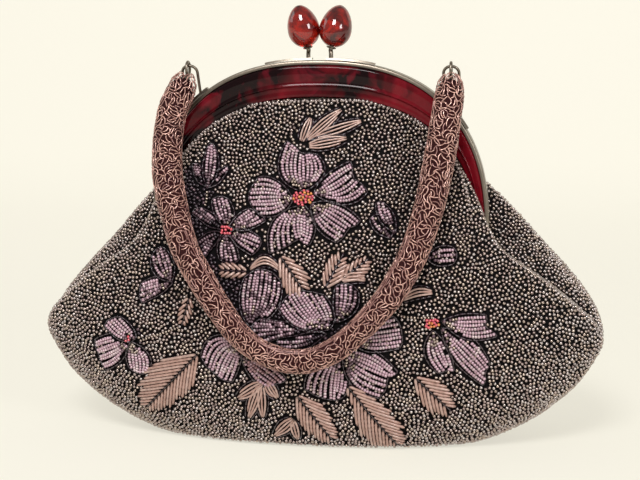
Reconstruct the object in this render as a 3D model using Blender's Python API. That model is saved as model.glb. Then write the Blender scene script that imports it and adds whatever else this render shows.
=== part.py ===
"""Beaded evening handbag with a moulded resin kiss-lock frame and a padded beaded handle.

Metres, +Z up, front towards -Y. The origin is the middle of the flat base on the floor.
The front half of the frame carries the pouch, the handle's wire bails and one clasp knob.
The rear half turns back about the two hinge rivets, and takes the upper back of the pouch
and the other knob with it. The handle swings about the tops of the bails.
"""

import math

import bmesh
import bpy
from mathutils import Matrix, Vector

# Frame arch, measured from the hinge axis
HINGE_HEIGHT = 0.1010
FRAME_HALF_WIDTH = 0.0820
FRAME_RISE = 0.0820
FRAME_POWER = 2.4
BAND_AT_SIDES = 0.0070
BAND_AT_TOP = 0.0195
OPENING_HALF_WIDTH = FRAME_HALF_WIDTH - BAND_AT_SIDES
OPENING_RISE = FRAME_RISE - BAND_AT_TOP
OPENING_POWER = 2.35
HALF_GAP = 0.0003
FIT_GAP = 0.0003

# Rim: a folded sheet channel that holds the resin's edge
RIM_DEPTH = 0.0068
RIM_WIDTH = 0.0026
RIM_SHEET = 0.0009
RIM_ROUND = 0.0006
ARCH_STEPS = 24

# Hinge lugs and rivets
LUG_RADIUS = 0.0046
LUG_THICKNESS = 0.0011
LUG_NECK_HEIGHT = 0.0120
LUG_SIDES = 16
LEG_CLEARANCE = 0.0008
RIVET_RADIUS = 0.0013
RIVET_HEAD_RADIUS = 0.0024
RIVET_HEAD_HEIGHT = 0.0009
RIVET_SIDES = 12

# Moulded resin facing
RESIN_TONGUE_DEPTH = 0.0014
RESIN_BACK = 0.0015
RESIN_EDGE_FRONT = 0.0052
RESIN_CREST = 0.0075
RESIN_LEG_START = 0.0070

# Frame plate behind the resin, which clamps the fabric's edge
PLATE_THICKNESS = 0.0008
PLATE_BACK = 0.0004
PLATE_LAP = 0.0050
PLATE_LEG_START = 0.0070

# Clasp
CLASP_STRIP_START = 0.0040
CLASP_STRIP_END = 0.0270
CLASP_STRIP_THICKNESS = 0.0009
CLASP_STRIP_WIDTH = 0.0048
CLASP_STEPS = 8
STEM_RADIUS = 0.00105
STEM_OFFSET = 0.0060
STEM_HEIGHT = 0.0055
STEM_SIDES = 8
KNOB_RADIUS = 0.0074
KNOB_HEIGHT = 0.0200
KNOB_SPREAD = 0.0081
KNOB_TILT = math.radians(12)
KNOB_LEAN = math.radians(9)
KNOB_BORE_DEPTH = 0.0060
KNOB_SIDES = 16
COLLAR_RADIUS = 0.0024
COLLAR_HEIGHT = 0.0008

# Pouch of beaded fabric
BASE_HALF_LENGTH = 0.0750
BASE_HALF_DEPTH = 0.0260
TIP_HEIGHT = 0.0500
POUCH_HALF_WIDTH = 0.1375
POUCH_HALF_DEPTH = 0.0400
HINGE_HALF_DEPTH = 0.0280
SHOULDER_BULGE = 0.0270
FRONT_LOBE_SHARE = 0.34
SHOULDER_DEPTH = 0.0200
FABRIC_EDGE_FRONT = 0.0053
FABRIC_THICKNESS = 0.0016
FABRIC_EDGE_GAP = 0.0006
LOBE_CLEARANCE = 0.0008
FOLD_EDGE = 0.0016
BASE_PANEL_INSET = 0.0011
EDGE_BEAD_RADIUS = 0.0008
EDGE_BEAD_SIDES = 6
MAIN_COLUMNS = 6
RETURN_COLUMNS = 3

# Lining and its slip pocket
LINING_GAP = 0.0011
LINING_THICKNESS = 0.0007
POCKET_HALF_WIDTH = 0.0380
POCKET_LOW = 0.0360
POCKET_HIGH = 0.0840
POCKET_ROOM = 0.0090
POCKET_SHEET = 0.0007
POCKET_HEM = 0.0040
POCKET_COLUMNS = 10
POCKET_ROWS = 6

# Handle bails
BAIL_SET_IN = 0.0185
BAIL_RISE = -0.0025
HANDLE_HALF_SPAN = FRAME_HALF_WIDTH - BAIL_SET_IN
HANDLE_AXIS_RISE = FRAME_RISE + BAIL_RISE
HANDLE_AXIS_FORWARD = 0.0135
BAIL_WIRE_RADIUS = 0.0007
BAIL_HALF_WIDTH = 0.0049
BAIL_FOOT_THICKNESS = 0.0010
BAIL_FOOT_OVERHANG = 0.0022
BAIL_FOOT_WIDTH = 0.0040
BAIL_SIDES = 6
BAIL_FOOT_STEPS = 6
BAIL_BEND_STEPS = 8

# Handle
HANDLE_DROP = 0.1415
HANDLE_RADIUS = 0.0080
HANDLE_WALL = 0.0025
HANDLE_END_RADIUS = 0.0055
HANDLE_SWAY = 0.0042
HANDLE_TAPER = 0.0220
HANDLE_REST_GAP = 0.0004
HANDLE_STEPS = 28
HANDLE_SIDES = 10
CORE_STEPS = 24
CORE_SIDES = 6
CORE_GAP = 0.0007
RING_RADIUS = 0.0033
RING_WIRE_RADIUS = 0.0007
RING_SHANK_LENGTH = 0.0074
RING_SHANK_RADIUS = 0.0012
RING_STEPS = 14
CAP_START = 0.0066
CAP_LENGTH = 0.0080
CAP_BORE_ROOM = 0.0006
CAP_END_GAP = 0.0006
CAP_TIP_RADIUS = 0.0034
CAP_SIDES = 12

# Resin profile from the rim to the inner edge: place across the band, and height towards
# the crest above the inner edge's front
RESIN_PROFILE_SHARES = (
    (0.00, 0.55),
    (0.08, 1.00),
    (0.16, 0.86),
    (0.20, 0.62),
    (0.40, 0.74),
    (0.61, 0.60),
    (0.66, 0.34),
    (0.96, 0.16),
)

# Egg-shaped knob: height along it and radius
KNOB_PROFILE_SHARES = (
    (0.00, 0.32),
    (0.05, 0.54),
    (0.12, 0.74),
    (0.22, 0.91),
    (0.33, 0.99),
    (0.43, 1.00),
    (0.55, 0.94),
    (0.67, 0.81),
    (0.79, 0.62),
    (0.89, 0.40),
    (0.96, 0.20),
)

# Pouch below its widest point: height, width from base to tips, depth from base to belly
BELLY_SHARES = (
    (0.00, 0.00, 0.00),
    (0.05, 0.15, 0.24),
    (0.14, 0.33, 0.46),
    (0.32, 0.56, 0.70),
    (0.60, 0.81, 0.94),
    (1.00, 1.00, 0.99),
)

# Pouch from its tips to the hinge: height, width, side fold, depth, and how far in front of
# the fold the crest of each side lobe lies
WAIST_SHARES = (
    (0.16, 0.97, 0.93, 0.90, 0.45),
    (0.33, 0.86, 0.75, 0.71, 0.78),
    (0.58, 0.57, 0.47, 0.43, 1.02),
    (0.80, 0.26, 0.16, 0.19, 1.07),
    (0.89, 0.14, 0.00, 0.11, 1.05),
    (1.00, 0.00, 0.00, 0.00, 1.00),
)

# Pouch inside the frame: height, rear shoulder's bulge past the frame, depth, depth of the
# shoulder, and the front shoulder's bulge
SHOULDER_SHARES = (
    (0.07, 0.86, 0.93, 0.91, 0.230),
    (0.28, 0.43, 0.73, 0.66, 0.070),
    (0.48, 0.060, 0.52, 0.34, 0.000),
    (0.66, 0.00, 0.32, 0.13, 0.000),
    (0.82, 0.00, 0.17, 0.05, 0.000),
    (0.93, 0.00, 0.07, 0.016, 0.000),
    (0.994, 0.00, 0.022, 0.00, 0.000),
)

# Handle's line from bail to lowest point: drop and half width
HANDLE_LINE_SHARES = (
    (0.000, 1.000),
    (0.090, 1.020),
    (0.172, 1.050),
    (0.333, 1.045),
    (0.436, 1.006),
    (0.546, 0.929),
    (0.641, 0.850),
    (0.739, 0.748),
    (0.820, 0.630),
    (0.886, 0.512),
    (0.947, 0.357),
    (0.987, 0.181),
    (1.000, 0.000),
)


def clear_scene():
    for old in list(bpy.data.objects):
        bpy.data.objects.remove(old, do_unlink=True)


def material(name, colour, roughness, metallic=0.0, transmission=0.0):
    made = bpy.data.materials.new(name)
    made.use_nodes = True
    shader = made.node_tree.nodes["Principled BSDF"]
    shader.inputs["Base Color"].default_value = (*colour, 1.0)
    shader.inputs["Roughness"].default_value = roughness
    shader.inputs["Metallic"].default_value = metallic
    shader.inputs["Transmission Weight"].default_value = transmission
    return made


def new_object(name, mesh, look, pivot, smooth_angle):
    """Puts a mesh given in world coordinates on an object whose origin is the pivot."""
    mesh.transform(Matrix.Translation(-pivot))
    made = bpy.data.objects.new(name, mesh)
    made.location = pivot
    bpy.context.scene.collection.objects.link(made)
    mesh.materials.append(look)
    mesh.shade_smooth()
    mesh.set_sharp_from_angle(angle=smooth_angle)
    return made


def mesh_of(name, points, faces):
    """A closed mesh with its faces turned outwards."""
    mesh = bpy.data.meshes.new(name)
    mesh.from_pydata([tuple(p) for p in points], [], faces)
    work = bmesh.new()
    work.from_mesh(mesh)
    bmesh.ops.recalc_face_normals(work, faces=work.faces)
    if work.calc_volume(signed=True) < 0:
        bmesh.ops.reverse_faces(work, faces=work.faces)
    work.to_mesh(mesh)
    work.free()
    return mesh


def solid_of_rings(name, rings):
    """Joins rings of equal length into a closed solid with flat ends."""
    count = len(rings[0])
    points = [p for ring in rings for p in ring]
    faces = []
    for k in range(len(rings) - 1):
        low = k * count
        for j in range(count):
            after = (j + 1) % count
            faces.append((low + j, low + after, low + count + after, low + count + j))
    faces.append(tuple(range(count)))
    faces.append(tuple(range(len(points) - count, len(points))))
    return mesh_of(name, points, faces)


def directions(path):
    """Unit directions along an open path, taken across each point's neighbours."""
    last = len(path) - 1
    return [(path[min(i + 1, last)] - path[max(i - 1, 0)]).normalized() for i in range(last + 1)]


def tube_rings(path, radii, sides):
    """Round sections along a path, carried along it without twist."""
    along = directions(path)
    side = along[0].orthogonal().normalized()
    rings = []
    for point, direction, radius in zip(path, along, radii):
        side = (side - direction * side.dot(direction)).normalized()
        other = direction.cross(side)
        ring = []
        for j in range(sides):
            turn = math.tau * j / sides
            ring.append(point + (side * math.cos(turn) + other * math.sin(turn)) * radius)
        rings.append(ring)
    return rings


def turned(name, profile, start, direction, sides):
    """Turns (radius, height) points about a line. The profile begins and ends on the line."""
    side = direction.orthogonal().normalized()
    other = direction.cross(side)
    points = [start + direction * profile[0][1]]
    for radius, height in profile[1:-1]:
        for j in range(sides):
            turn = math.tau * j / sides
            out = side * math.cos(turn) + other * math.sin(turn)
            points.append(start + direction * height + out * radius)
    points.append(start + direction * profile[-1][1])
    last = len(points) - 1
    faces = []
    for j in range(sides):
        after = (j + 1) % sides
        faces.append((0, 1 + j, 1 + after))
        faces.append((last, last - sides + after, last - sides + j))
    for k in range(len(profile) - 3):
        low = 1 + k * sides
        for j in range(sides):
            after = (j + 1) % sides
            faces.append((low + j, low + sides + j, low + sides + after, low + after))
    return mesh_of(name, points, faces)


def pierced(name, profile, start, direction, sides):
    """Turns a closed (radius, height) outline that stays off the line, so a bore runs through."""
    side = direction.orthogonal().normalized()
    other = direction.cross(side)
    count = len(profile)
    points = []
    for j in range(sides):
        turn = math.tau * j / sides
        out = side * math.cos(turn) + other * math.sin(turn)
        points.extend(start + direction * h + out * r for r, h in profile)
    faces = []
    for j in range(sides):
        low = j * count
        next_low = (j + 1) % sides * count
        for k in range(count):
            after = (k + 1) % count
            faces.append((low + k, low + after, next_low + after, next_low + k))
    return mesh_of(name, points, faces)


def join(target, tools):
    """Unites the tools with the target. The tools stay as hidden guides."""
    for tool in tools:
        tool.hide_render = True
        tool.display_type = "WIRE"
        union = target.modifiers.new("Join " + tool.name, "BOOLEAN")
        union.operation = "UNION"
        union.solver = "EXACT"
        union.object = tool


def cut(target, tools):
    for tool in tools:
        tool.hide_render = True
        tool.display_type = "WIRE"
        cutting = target.modifiers.new("Cut " + tool.name, "BOOLEAN")
        cutting.operation = "DIFFERENCE"
        cutting.solver = "EXACT"
        cutting.object = tool


def mixed(low, high, share):
    return low + (high - low) * share


def table_value(rows, column, place):
    """Reads a column of a table whose first column rises."""
    if place <= rows[0][0]:
        return rows[0][column]
    for before, after in zip(rows, rows[1:]):
        if place <= after[0]:
            share = (place - before[0]) / (after[0] - before[0])
            return mixed(before[column], after[column], share)
    return rows[-1][column]


# Arch geometry


def arch_point(half_width, rise, power, angle):
    """A point of the arch in X and Z, measured from the hinge axis."""
    across = math.copysign(abs(math.cos(angle)) ** (2 / power), math.cos(angle))
    return Vector((half_width * across, 0, HINGE_HEIGHT + rise * math.sin(angle) ** (2 / power)))


def outer_point(angle):
    return arch_point(FRAME_HALF_WIDTH, FRAME_RISE, FRAME_POWER, angle)


def inner_point(angle):
    return arch_point(OPENING_HALF_WIDTH, OPENING_RISE, OPENING_POWER, angle)


def inward(point_at, angle):
    """Unit direction into the arch, square to its line."""
    step = math.radians(0.5)
    along = point_at(min(angle + step, math.pi)) - point_at(max(angle - step, 0))
    turned_in = Vector((-along.z, 0, along.x)).normalized()
    centre = Vector((0, 0, HINGE_HEIGHT))
    return turned_in if turned_in.dot(centre - point_at(angle)) > 0 else -turned_in


def angle_at_height(height, rise, power):
    """The arch's angle at a height above the hinge axis."""
    return math.asin(min(max(height / rise, 0), 1) ** (power / 2))


def angle_at_width(width):
    """The outer arch's angle at a distance from the middle."""
    return math.acos(min(max(width / FRAME_HALF_WIDTH, 0), 1) ** (FRAME_POWER / 2))


def opening_half_width(height):
    """Half width of the frame's opening at a height above the hinge axis."""
    share = min(max(height / OPENING_RISE, 0), 1)
    return OPENING_HALF_WIDTH * (1 - share**OPENING_POWER) ** (1 / OPENING_POWER)


def leg_start():
    return LUG_RADIUS + LEG_CLEARANCE


def arch_angles(height, steps):
    low = angle_at_height(height, FRAME_RISE, FRAME_POWER)
    return [low + (math.pi - 2 * low) * k / steps for k in range(steps + 1)]


def towards(side, depth):
    """Y of a depth measured from the frame's parting plane. The front side is -1."""
    return side * depth


# Frame


def rim_mesh(name, side):
    """Folded channel: a rounded front edge, the outer wall and the lip at the parting plane."""
    half = HALF_GAP / 2
    section = (
        (0, RIM_DEPTH - RIM_ROUND),
        (RIM_ROUND, RIM_DEPTH),
        (RIM_WIDTH, RIM_DEPTH),
        (RIM_WIDTH, RIM_DEPTH - RIM_SHEET),
        (RIM_SHEET, RIM_DEPTH - RIM_SHEET),
        (RIM_SHEET, half + RIM_SHEET),
        (RIM_WIDTH, half + RIM_SHEET),
        (RIM_WIDTH, half),
        (0, half),
    )
    rings = []
    for angle in arch_angles(leg_start(), ARCH_STEPS):
        start = outer_point(angle)
        into = inward(outer_point, angle)
        rings.append([start + into * n + Vector((0, towards(side, y), 0)) for n, y in section])
    return solid_of_rings(name, rings)


def lug_mesh(name, x_low, x_high, side):
    """Flat lug about the hinge axis, with a neck that runs up into the rim's leg."""
    neck_front = RIM_DEPTH - RIM_SHEET / 2
    neck_back = HALF_GAP / 2 + RIM_SHEET / 2
    outline = [(neck_back, LUG_NECK_HEIGHT), (neck_front, LUG_NECK_HEIGHT)]
    start = math.radians(-5)
    end = math.radians(-275)
    for k in range(LUG_SIDES + 1):
        turn = mixed(start, end, k / LUG_SIDES)
        outline.append((LUG_RADIUS * math.cos(turn), LUG_RADIUS * math.sin(turn)))
    outline[1] = (neck_front, LUG_NECK_HEIGHT)
    outline.insert(2, (neck_front, leg_start()))
    rings = []
    for x in (x_low, x_high):
        rings.append([Vector((x, towards(side, y), HINGE_HEIGHT + z)) for y, z in outline])
    return solid_of_rings(name, rings)


def front_lug_span():
    """X range of the front half's lug, in line with the rim's outer wall."""
    high = FRAME_HALF_WIDTH - FIT_GAP / 6
    return high - LUG_THICKNESS, high


def rear_lug_span():
    low, _ = front_lug_span()
    high = low - FIT_GAP
    return high - LUG_THICKNESS, high


def rod(name, radius, x_low, x_high, sides):
    """Straight rod along X on the hinge axis."""
    length = x_high - x_low
    start = Vector((x_low, 0, HINGE_HEIGHT))
    profile = ((0, 0), (radius, 0), (radius, length), (0, length))
    return turned(name, profile, start, Vector((1, 0, 0)), sides)


def build_rim(name, side, look, pivot, smooth_angle):
    rim = new_object(name, rim_mesh(name, side), look, pivot, smooth_angle)
    tools = []
    holes = []
    low, high = front_lug_span() if side < 0 else rear_lug_span()
    for label, mirror in (("left", -1), ("right", 1)):
        x_low, x_high = sorted((mirror * low, mirror * high))
        lug = lug_mesh(f"{name}_lug_{label}", x_low, x_high, side)
        tools.append(new_object(f"{name}_lug_{label}", lug, look, pivot, smooth_angle))
        hole = rod(
            f"{name}_hole_{label}",
            RIVET_RADIUS + FIT_GAP,
            x_low - LUG_THICKNESS,
            x_high + LUG_THICKNESS,
            RIVET_SIDES,
        )
        holes.append(new_object(f"{name}_hole_{label}", hole, look, pivot, smooth_angle))
    join(rim, tools)
    cut(rim, holes)
    return rim


def resin_mesh(name, side):
    """Crescent facing with a stepped moulding, and a tongue that sits in the rim's channel."""
    # The rear lug's neck fills the bottom of the rear channel, so the rear facing ends above it
    start_height = RESIN_LEG_START if side < 0 else LUG_NECK_HEIGHT + LEG_CLEARANCE
    channel_front = RIM_DEPTH - RIM_SHEET - FIT_GAP
    rings = []
    for angle in arch_angles(start_height, ARCH_STEPS):
        outer = outer_point(angle)
        into = inward(outer_point, angle)
        band_start = outer + into * (RIM_WIDTH + FIT_GAP)
        band_end = inner_point(angle)
        tongue = outer + into * (RIM_WIDTH - RESIN_TONGUE_DEPTH)
        ring = [(tongue, RESIN_BACK), (tongue, channel_front), (band_start, channel_front)]
        for across, height in RESIN_PROFILE_SHARES:
            depth = mixed(RESIN_EDGE_FRONT, RESIN_CREST, height)
            ring.append((band_start.lerp(band_end, across), depth))
        ring.append((band_end, mixed(RESIN_BACK, RESIN_EDGE_FRONT, 0.8)))
        ring.append((band_end, RESIN_BACK))
        rings.append([p + Vector((0, towards(side, y), 0)) for p, y in ring])
    return solid_of_rings(name, rings)


def plate_mesh(name, side):
    """Flat crescent plate behind the resin, lapping the fabric's edge on the inside."""
    front = PLATE_BACK + PLATE_THICKNESS
    rings = []
    for angle in arch_angles(PLATE_LEG_START, ARCH_STEPS):
        outer = outer_point(angle) + inward(outer_point, angle) * (RIM_WIDTH + FIT_GAP)
        inner = inner_point(angle) + inward(inner_point, angle) * PLATE_LAP
        ring = ((outer, PLATE_BACK), (outer, front), (inner, front), (inner, PLATE_BACK))
        rings.append([p + Vector((0, towards(side, y), 0)) for p, y in ring])
    return solid_of_rings(name, rings)


def rivet_mesh(name, mirror):
    """Domed rivet through both lugs."""
    inner_face = rear_lug_span()[0] - FIT_GAP
    outer_face = front_lug_span()[1] + FIT_GAP
    start = Vector((mirror * (inner_face - RIVET_HEAD_HEIGHT), 0, HINGE_HEIGHT))
    shaft_start = RIVET_HEAD_HEIGHT
    shaft_end = shaft_start + outer_face - inner_face
    profile = (
        (0, 0),
        (RIVET_HEAD_RADIUS * 0.9, 0),
        (RIVET_HEAD_RADIUS, shaft_start / 2),
        (RIVET_HEAD_RADIUS, shaft_start),
        (RIVET_RADIUS, shaft_start),
        (RIVET_RADIUS, shaft_end),
        (RIVET_HEAD_RADIUS, shaft_end),
        (RIVET_HEAD_RADIUS * 0.8, shaft_end + RIVET_HEAD_HEIGHT * 0.7),
        (0, shaft_end + RIVET_HEAD_HEIGHT),
    )
    return turned(name, profile, start, Vector((mirror, 0, 0)), RIVET_SIDES)


# Clasp


def knob_axis(side):
    """Unit direction of a knob: out to its own side, and over the other half of the frame."""
    outward = -side
    axis = Vector((outward * math.tan(KNOB_TILT), -side * math.tan(KNOB_LEAN), 1))
    return axis.normalized()


def clasp_middle():
    """Depth of the clasp strip's middle from the parting plane."""
    return HALF_GAP / 2 + RIM_DEPTH / 2


def strip_top(width):
    """Top of the clasp strip at a distance from the middle."""
    angle = angle_at_width(width)
    lift = FIT_GAP + CLASP_STRIP_THICKNESS
    return outer_point(angle) - inward(outer_point, angle) * lift


def knob_foot(side):
    """Where the knob's lower end lies, above the stem."""
    outward = -side
    rise = strip_top(STEM_OFFSET).z + STEM_HEIGHT
    axis = knob_axis(side)
    half = KNOB_HEIGHT / 2
    x = outward * KNOB_SPREAD - axis.x * half
    y = towards(side, clasp_middle()) + axis.y * STEM_HEIGHT * 2
    return Vector((x, y, rise))


def clasp_strip_mesh(name, side):
    outward = -side
    low = clasp_middle() - CLASP_STRIP_WIDTH / 2
    high = clasp_middle() + CLASP_STRIP_WIDTH / 2
    rings = []
    for k in range(CLASP_STEPS + 1):
        width = mixed(CLASP_STRIP_START, CLASP_STRIP_END, k / CLASP_STEPS)
        angle = angle_at_width(width)
        out = -inward(outer_point, angle)
        # The strip draws in towards its far end
        draw = CLASP_STRIP_WIDTH / 4 * (k / CLASP_STEPS) ** 3
        under = outer_point(angle) + out * FIT_GAP
        over = under + out * CLASP_STRIP_THICKNESS
        corners = ((under, low + draw), (over, low + draw), (over, high - draw), (under, high - draw))
        rings.append([Vector((outward * p.x, towards(side, y), p.z)) for p, y in corners])
    return solid_of_rings(name, rings)


def stem_path(side):
    """Bent wire from the strip to the middle of the knob's bore."""
    outward = -side
    axis = knob_axis(side)
    foot = knob_foot(side)
    base = strip_top(STEM_OFFSET)
    start = Vector((outward * STEM_OFFSET, towards(side, clasp_middle()), base.z))
    start.z -= CLASP_STRIP_THICKNESS / 2
    low = start + Vector((0, 0, STEM_HEIGHT * 0.5))
    bend = foot - axis * STEM_HEIGHT * 0.35
    tip = foot + axis * (KNOB_BORE_DEPTH - FIT_GAP)
    return [start, low, low.lerp(bend, 0.6), bend, foot, tip]


def build_clasp_arm(name, side, look, pivot, smooth_angle):
    strip = clasp_strip_mesh(name, side)
    arm = new_object(name, strip, look, pivot, smooth_angle)
    path = stem_path(side)
    stem = solid_of_rings(name + "_stem", tube_rings(path, [STEM_RADIUS] * len(path), STEM_SIDES))
    axis = knob_axis(side)
    collar_profile = (
        (0, 0),
        (COLLAR_RADIUS * 0.7, 0),
        (COLLAR_RADIUS, COLLAR_HEIGHT),
        (0, COLLAR_HEIGHT),
    )
    collar_start = knob_foot(side) - axis * (COLLAR_HEIGHT + FIT_GAP)
    collar = turned(name + "_collar", collar_profile, collar_start, axis, STEM_SIDES)
    tools = [
        new_object(name + "_stem", stem, look, pivot, smooth_angle),
        new_object(name + "_collar", collar, look, pivot, smooth_angle),
    ]
    join(arm, tools)
    return arm


def knob_mesh(name, side):
    """Egg-shaped knob with a blind bore for the stem."""
    bore = STEM_RADIUS + FIT_GAP
    profile = [(0, KNOB_BORE_DEPTH), (bore, KNOB_BORE_DEPTH), (bore, 0)]
    profile += [(KNOB_RADIUS * r, KNOB_HEIGHT * h) for h, r in KNOB_PROFILE_SHARES]
    profile.append((0, KNOB_HEIGHT))
    return turned(name, profile, knob_foot(side), knob_axis(side), KNOB_SIDES)


# Pouch


def attach_half_width(height):
    """Where the fabric's edge meets the frame, at a height above the hinge axis."""
    return opening_half_width(height) - FABRIC_EDGE_GAP


def lobe_front():
    """Depth of a side lobe's back wall where it passes in front of the frame."""
    return RESIN_CREST + LOBE_CLEARANCE


def section_controls(z, side):
    """Controls of a wall's section at height z, as widths and depths from the middle.

    They are the depth in the middle, the crest of the side lobe, the point where the lobe's
    back wall ends, and the edge, which is the side fold or the frame.
    """
    seam = HALF_GAP / 2
    hinge_crest = OPENING_HALF_WIDTH + SHOULDER_BULGE
    hinge_edge = attach_half_width(0)
    if z <= TIP_HEIGHT:
        place = z / TIP_HEIGHT
        width = mixed(BASE_HALF_LENGTH, POUCH_HALF_WIDTH, table_value(BELLY_SHARES, 1, place))
        depth = mixed(BASE_HALF_DEPTH, POUCH_HALF_DEPTH, table_value(BELLY_SHARES, 2, place))
        crest = FOLD_EDGE * mixed(2, 2.5, place)
        return depth, width, crest, width, FOLD_EDGE, width, seam
    if z <= HINGE_HEIGHT:
        place = (z - TIP_HEIGHT) / (HINGE_HEIGHT - TIP_HEIGHT)
        rows = ((0, 1, 1, BELLY_SHARES[-1][2], FOLD_EDGE * 2.5 / SHOULDER_DEPTH), *WAIST_SHARES)
        width = mixed(hinge_crest, POUCH_HALF_WIDTH, table_value(rows, 1, place))
        edge = mixed(hinge_edge, POUCH_HALF_WIDTH, table_value(rows, 2, place))
        depth = mixed(HINGE_HALF_DEPTH, POUCH_HALF_DEPTH, table_value(rows, 3, place))
        crest = SHOULDER_DEPTH * table_value(rows, 4, place)
        # The lobe's back wall leaves the fold and moves in front of the hinge
        knee = WAIST_SHARES[-3][0]
        free = min(max((place - knee) / (WAIST_SHARES[-2][0] - knee), 0), 1)
        inner_x = edge + LOBE_CLEARANCE
        inner_y = mixed(FOLD_EDGE, lobe_front(), free)
        width = max(width, inner_x)
        if side < 0:
            width = mixed(inner_x, width, FRONT_LOBE_SHARE)
        return depth, width, crest, inner_x, inner_y, edge, seam
    height = z - HINGE_HEIGHT
    place = height / OPENING_RISE
    rows = ((0, 1, 1, 1, FRONT_LOBE_SHARE), *SHOULDER_SHARES)
    edge = attach_half_width(height)
    bulge = SHOULDER_BULGE * table_value(rows, 4 if side < 0 else 1, place)
    depth = mixed(FABRIC_EDGE_FRONT, HINGE_HALF_DEPTH, table_value(rows, 2, place))
    crest = mixed(FABRIC_EDGE_FRONT, SHOULDER_DEPTH, table_value(rows, 3, place))
    lobe = min(bulge / (2 * LOBE_CLEARANCE), 1)
    inner_x = edge + mixed(0, FABRIC_EDGE_GAP + LOBE_CLEARANCE, lobe)
    inner_y = mixed(crest - LOBE_CLEARANCE, min(lobe_front(), crest - LOBE_CLEARANCE), lobe)
    width = max(edge + FABRIC_EDGE_GAP + bulge, inner_x) if bulge > 0 else edge
    seated = min(height / (PLATE_LEG_START * 0.6), 1)
    edge_y = mixed(seam, RESIN_BACK, seated)
    return depth, width, crest, inner_x, inner_y, edge, edge_y


def half_section(z, side, main, back):
    """Points of one half of a section, from the middle out to the edge, as (width, depth)."""
    depth, width, crest, inner_x, inner_y, edge, edge_y = section_controls(z, side)
    points = []
    for k in range(main + 1):
        turn = math.pi / 2 * k / main
        points.append((width * math.sin(turn), crest + (depth - crest) * math.cos(turn)))
    for k in range(1, back + 1):
        turn = math.pi / 2 * k / back
        x = inner_x + (width - inner_x) * math.cos(turn)
        points.append((x, crest - (crest - inner_y) * math.sin(turn)))
    points.append((edge, mixed(inner_y, edge_y, 0.35)))
    points.append((edge, edge_y))
    return points


def pouch_row(z, side, main, back):
    """A whole row of the pouch's front or rear wall, from left edge to right edge."""
    right = half_section(z, side, main, back)
    left = [(-x, y) for x, y in reversed(right[1:])]
    return [Vector((x, towards(side, y), z)) for x, y in left + right]


def grid_normals(rows, side):
    """Outward unit normals at the points of a grid."""
    work = bmesh.new()
    count = len(rows[0])
    verts = [work.verts.new(p) for row in rows for p in row]
    for k in range(len(rows) - 1):
        for j in range(count - 1):
            low = k * count + j
            loop = (low, low + 1, low + count + 1, low + count)
            order = loop if side < 0 else tuple(reversed(loop))
            work.faces.new([verts[i] for i in order])
    work.normal_update()
    normals = [v.normal.copy() for v in verts]
    work.free()
    return [normals[k * count : (k + 1) * count] for k in range(len(rows))]


def inset_rows(rows, side, distance, level_rows):
    """The grid moved inwards, with its edge columns and the level rows kept in their planes."""
    normals = grid_normals(rows, side)
    moved = []
    for k, (row, row_normals) in enumerate(zip(rows, normals)):
        line = []
        for j, (point, normal) in enumerate(zip(row, row_normals)):
            if j in (0, len(row) - 1):
                normal = Vector((normal.x, 0, normal.z)).normalized()
            if k - len(rows) in level_rows:
                normal = Vector((normal.x, normal.y, 0)).normalized()
            line.append(point - normal * distance)
        moved.append(line)
    return moved


def sheet_mesh(name, outer, inner):
    """Closed sheet between two grids of the same size."""
    rows = len(outer)
    count = len(outer[0])
    points = [p for row in outer for p in row] + [p for row in inner for p in row]
    offset = rows * count
    faces = []
    for k in range(rows - 1):
        for j in range(count - 1):
            low = k * count + j
            loop = (low, low + 1, low + count + 1, low + count)
            faces.append(loop)
            faces.append(tuple(offset + i for i in reversed(loop)))
    rim = [j for j in range(count)]
    rim += [k * count + count - 1 for k in range(1, rows)]
    rim += [(rows - 1) * count + j for j in range(count - 2, -1, -1)]
    rim += [k * count for k in range(rows - 2, 0, -1)]
    for here, after in zip(rim, rim[1:] + rim[:1]):
        faces.append((here, here + offset, after + offset, after))
    return mesh_of(name, points, faces)


def wall_heights():
    """Heights of the rows from the floor to the hinge."""
    waist = HINGE_HEIGHT - TIP_HEIGHT
    low = [TIP_HEIGHT * row[0] for row in BELLY_SHARES]
    return low + [TIP_HEIGHT + waist * row[0] for row in WAIST_SHARES]


def yoke_heights():
    """Heights of the rows inside the frame."""
    return [HINGE_HEIGHT + OPENING_RISE * row[0] for row in SHOULDER_SHARES]


def level_rows_of(heights):
    """Rows cut level at the hinge or at the top of the opening, counted from the end."""
    level = []
    if heights[0] > TIP_HEIGHT:
        level.append(-len(heights))
    if heights[-1] < HINGE_HEIGHT or heights[-1] == yoke_heights()[-1]:
        level.append(-1)
    return level


def fabric_mesh(name, side, heights):
    rows = [pouch_row(z, side, MAIN_COLUMNS, RETURN_COLUMNS) for z in heights]
    inner = inset_rows(rows, side, FABRIC_THICKNESS, level_rows_of(heights))
    return sheet_mesh(name, rows, inner)


def lining_mesh(name, side, heights):
    with_base = heights[0] == 0
    rows = [pouch_row(z, side, MAIN_COLUMNS, RETURN_COLUMNS) for z in heights]
    if with_base:
        count = len(rows[0])
        reach = BASE_HALF_LENGTH - FOLD_EDGE
        seam = []
        for j in range(count):
            share = 2 * j / (count - 1) - 1
            seam.append(Vector((reach * share, towards(side, HALF_GAP / 2), 0)))
        rows.insert(0, seam)
    near = FABRIC_THICKNESS + LINING_GAP
    far = near + LINING_THICKNESS
    outer = inset_rows(rows, side, near, level_rows_of(heights))
    inner = inset_rows(rows, side, far, level_rows_of(heights))
    if with_base:
        for grid in (outer, inner):
            for point in grid[0]:
                point.y = towards(side, HALF_GAP / 2)
    return sheet_mesh(name, outer, inner)


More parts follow.
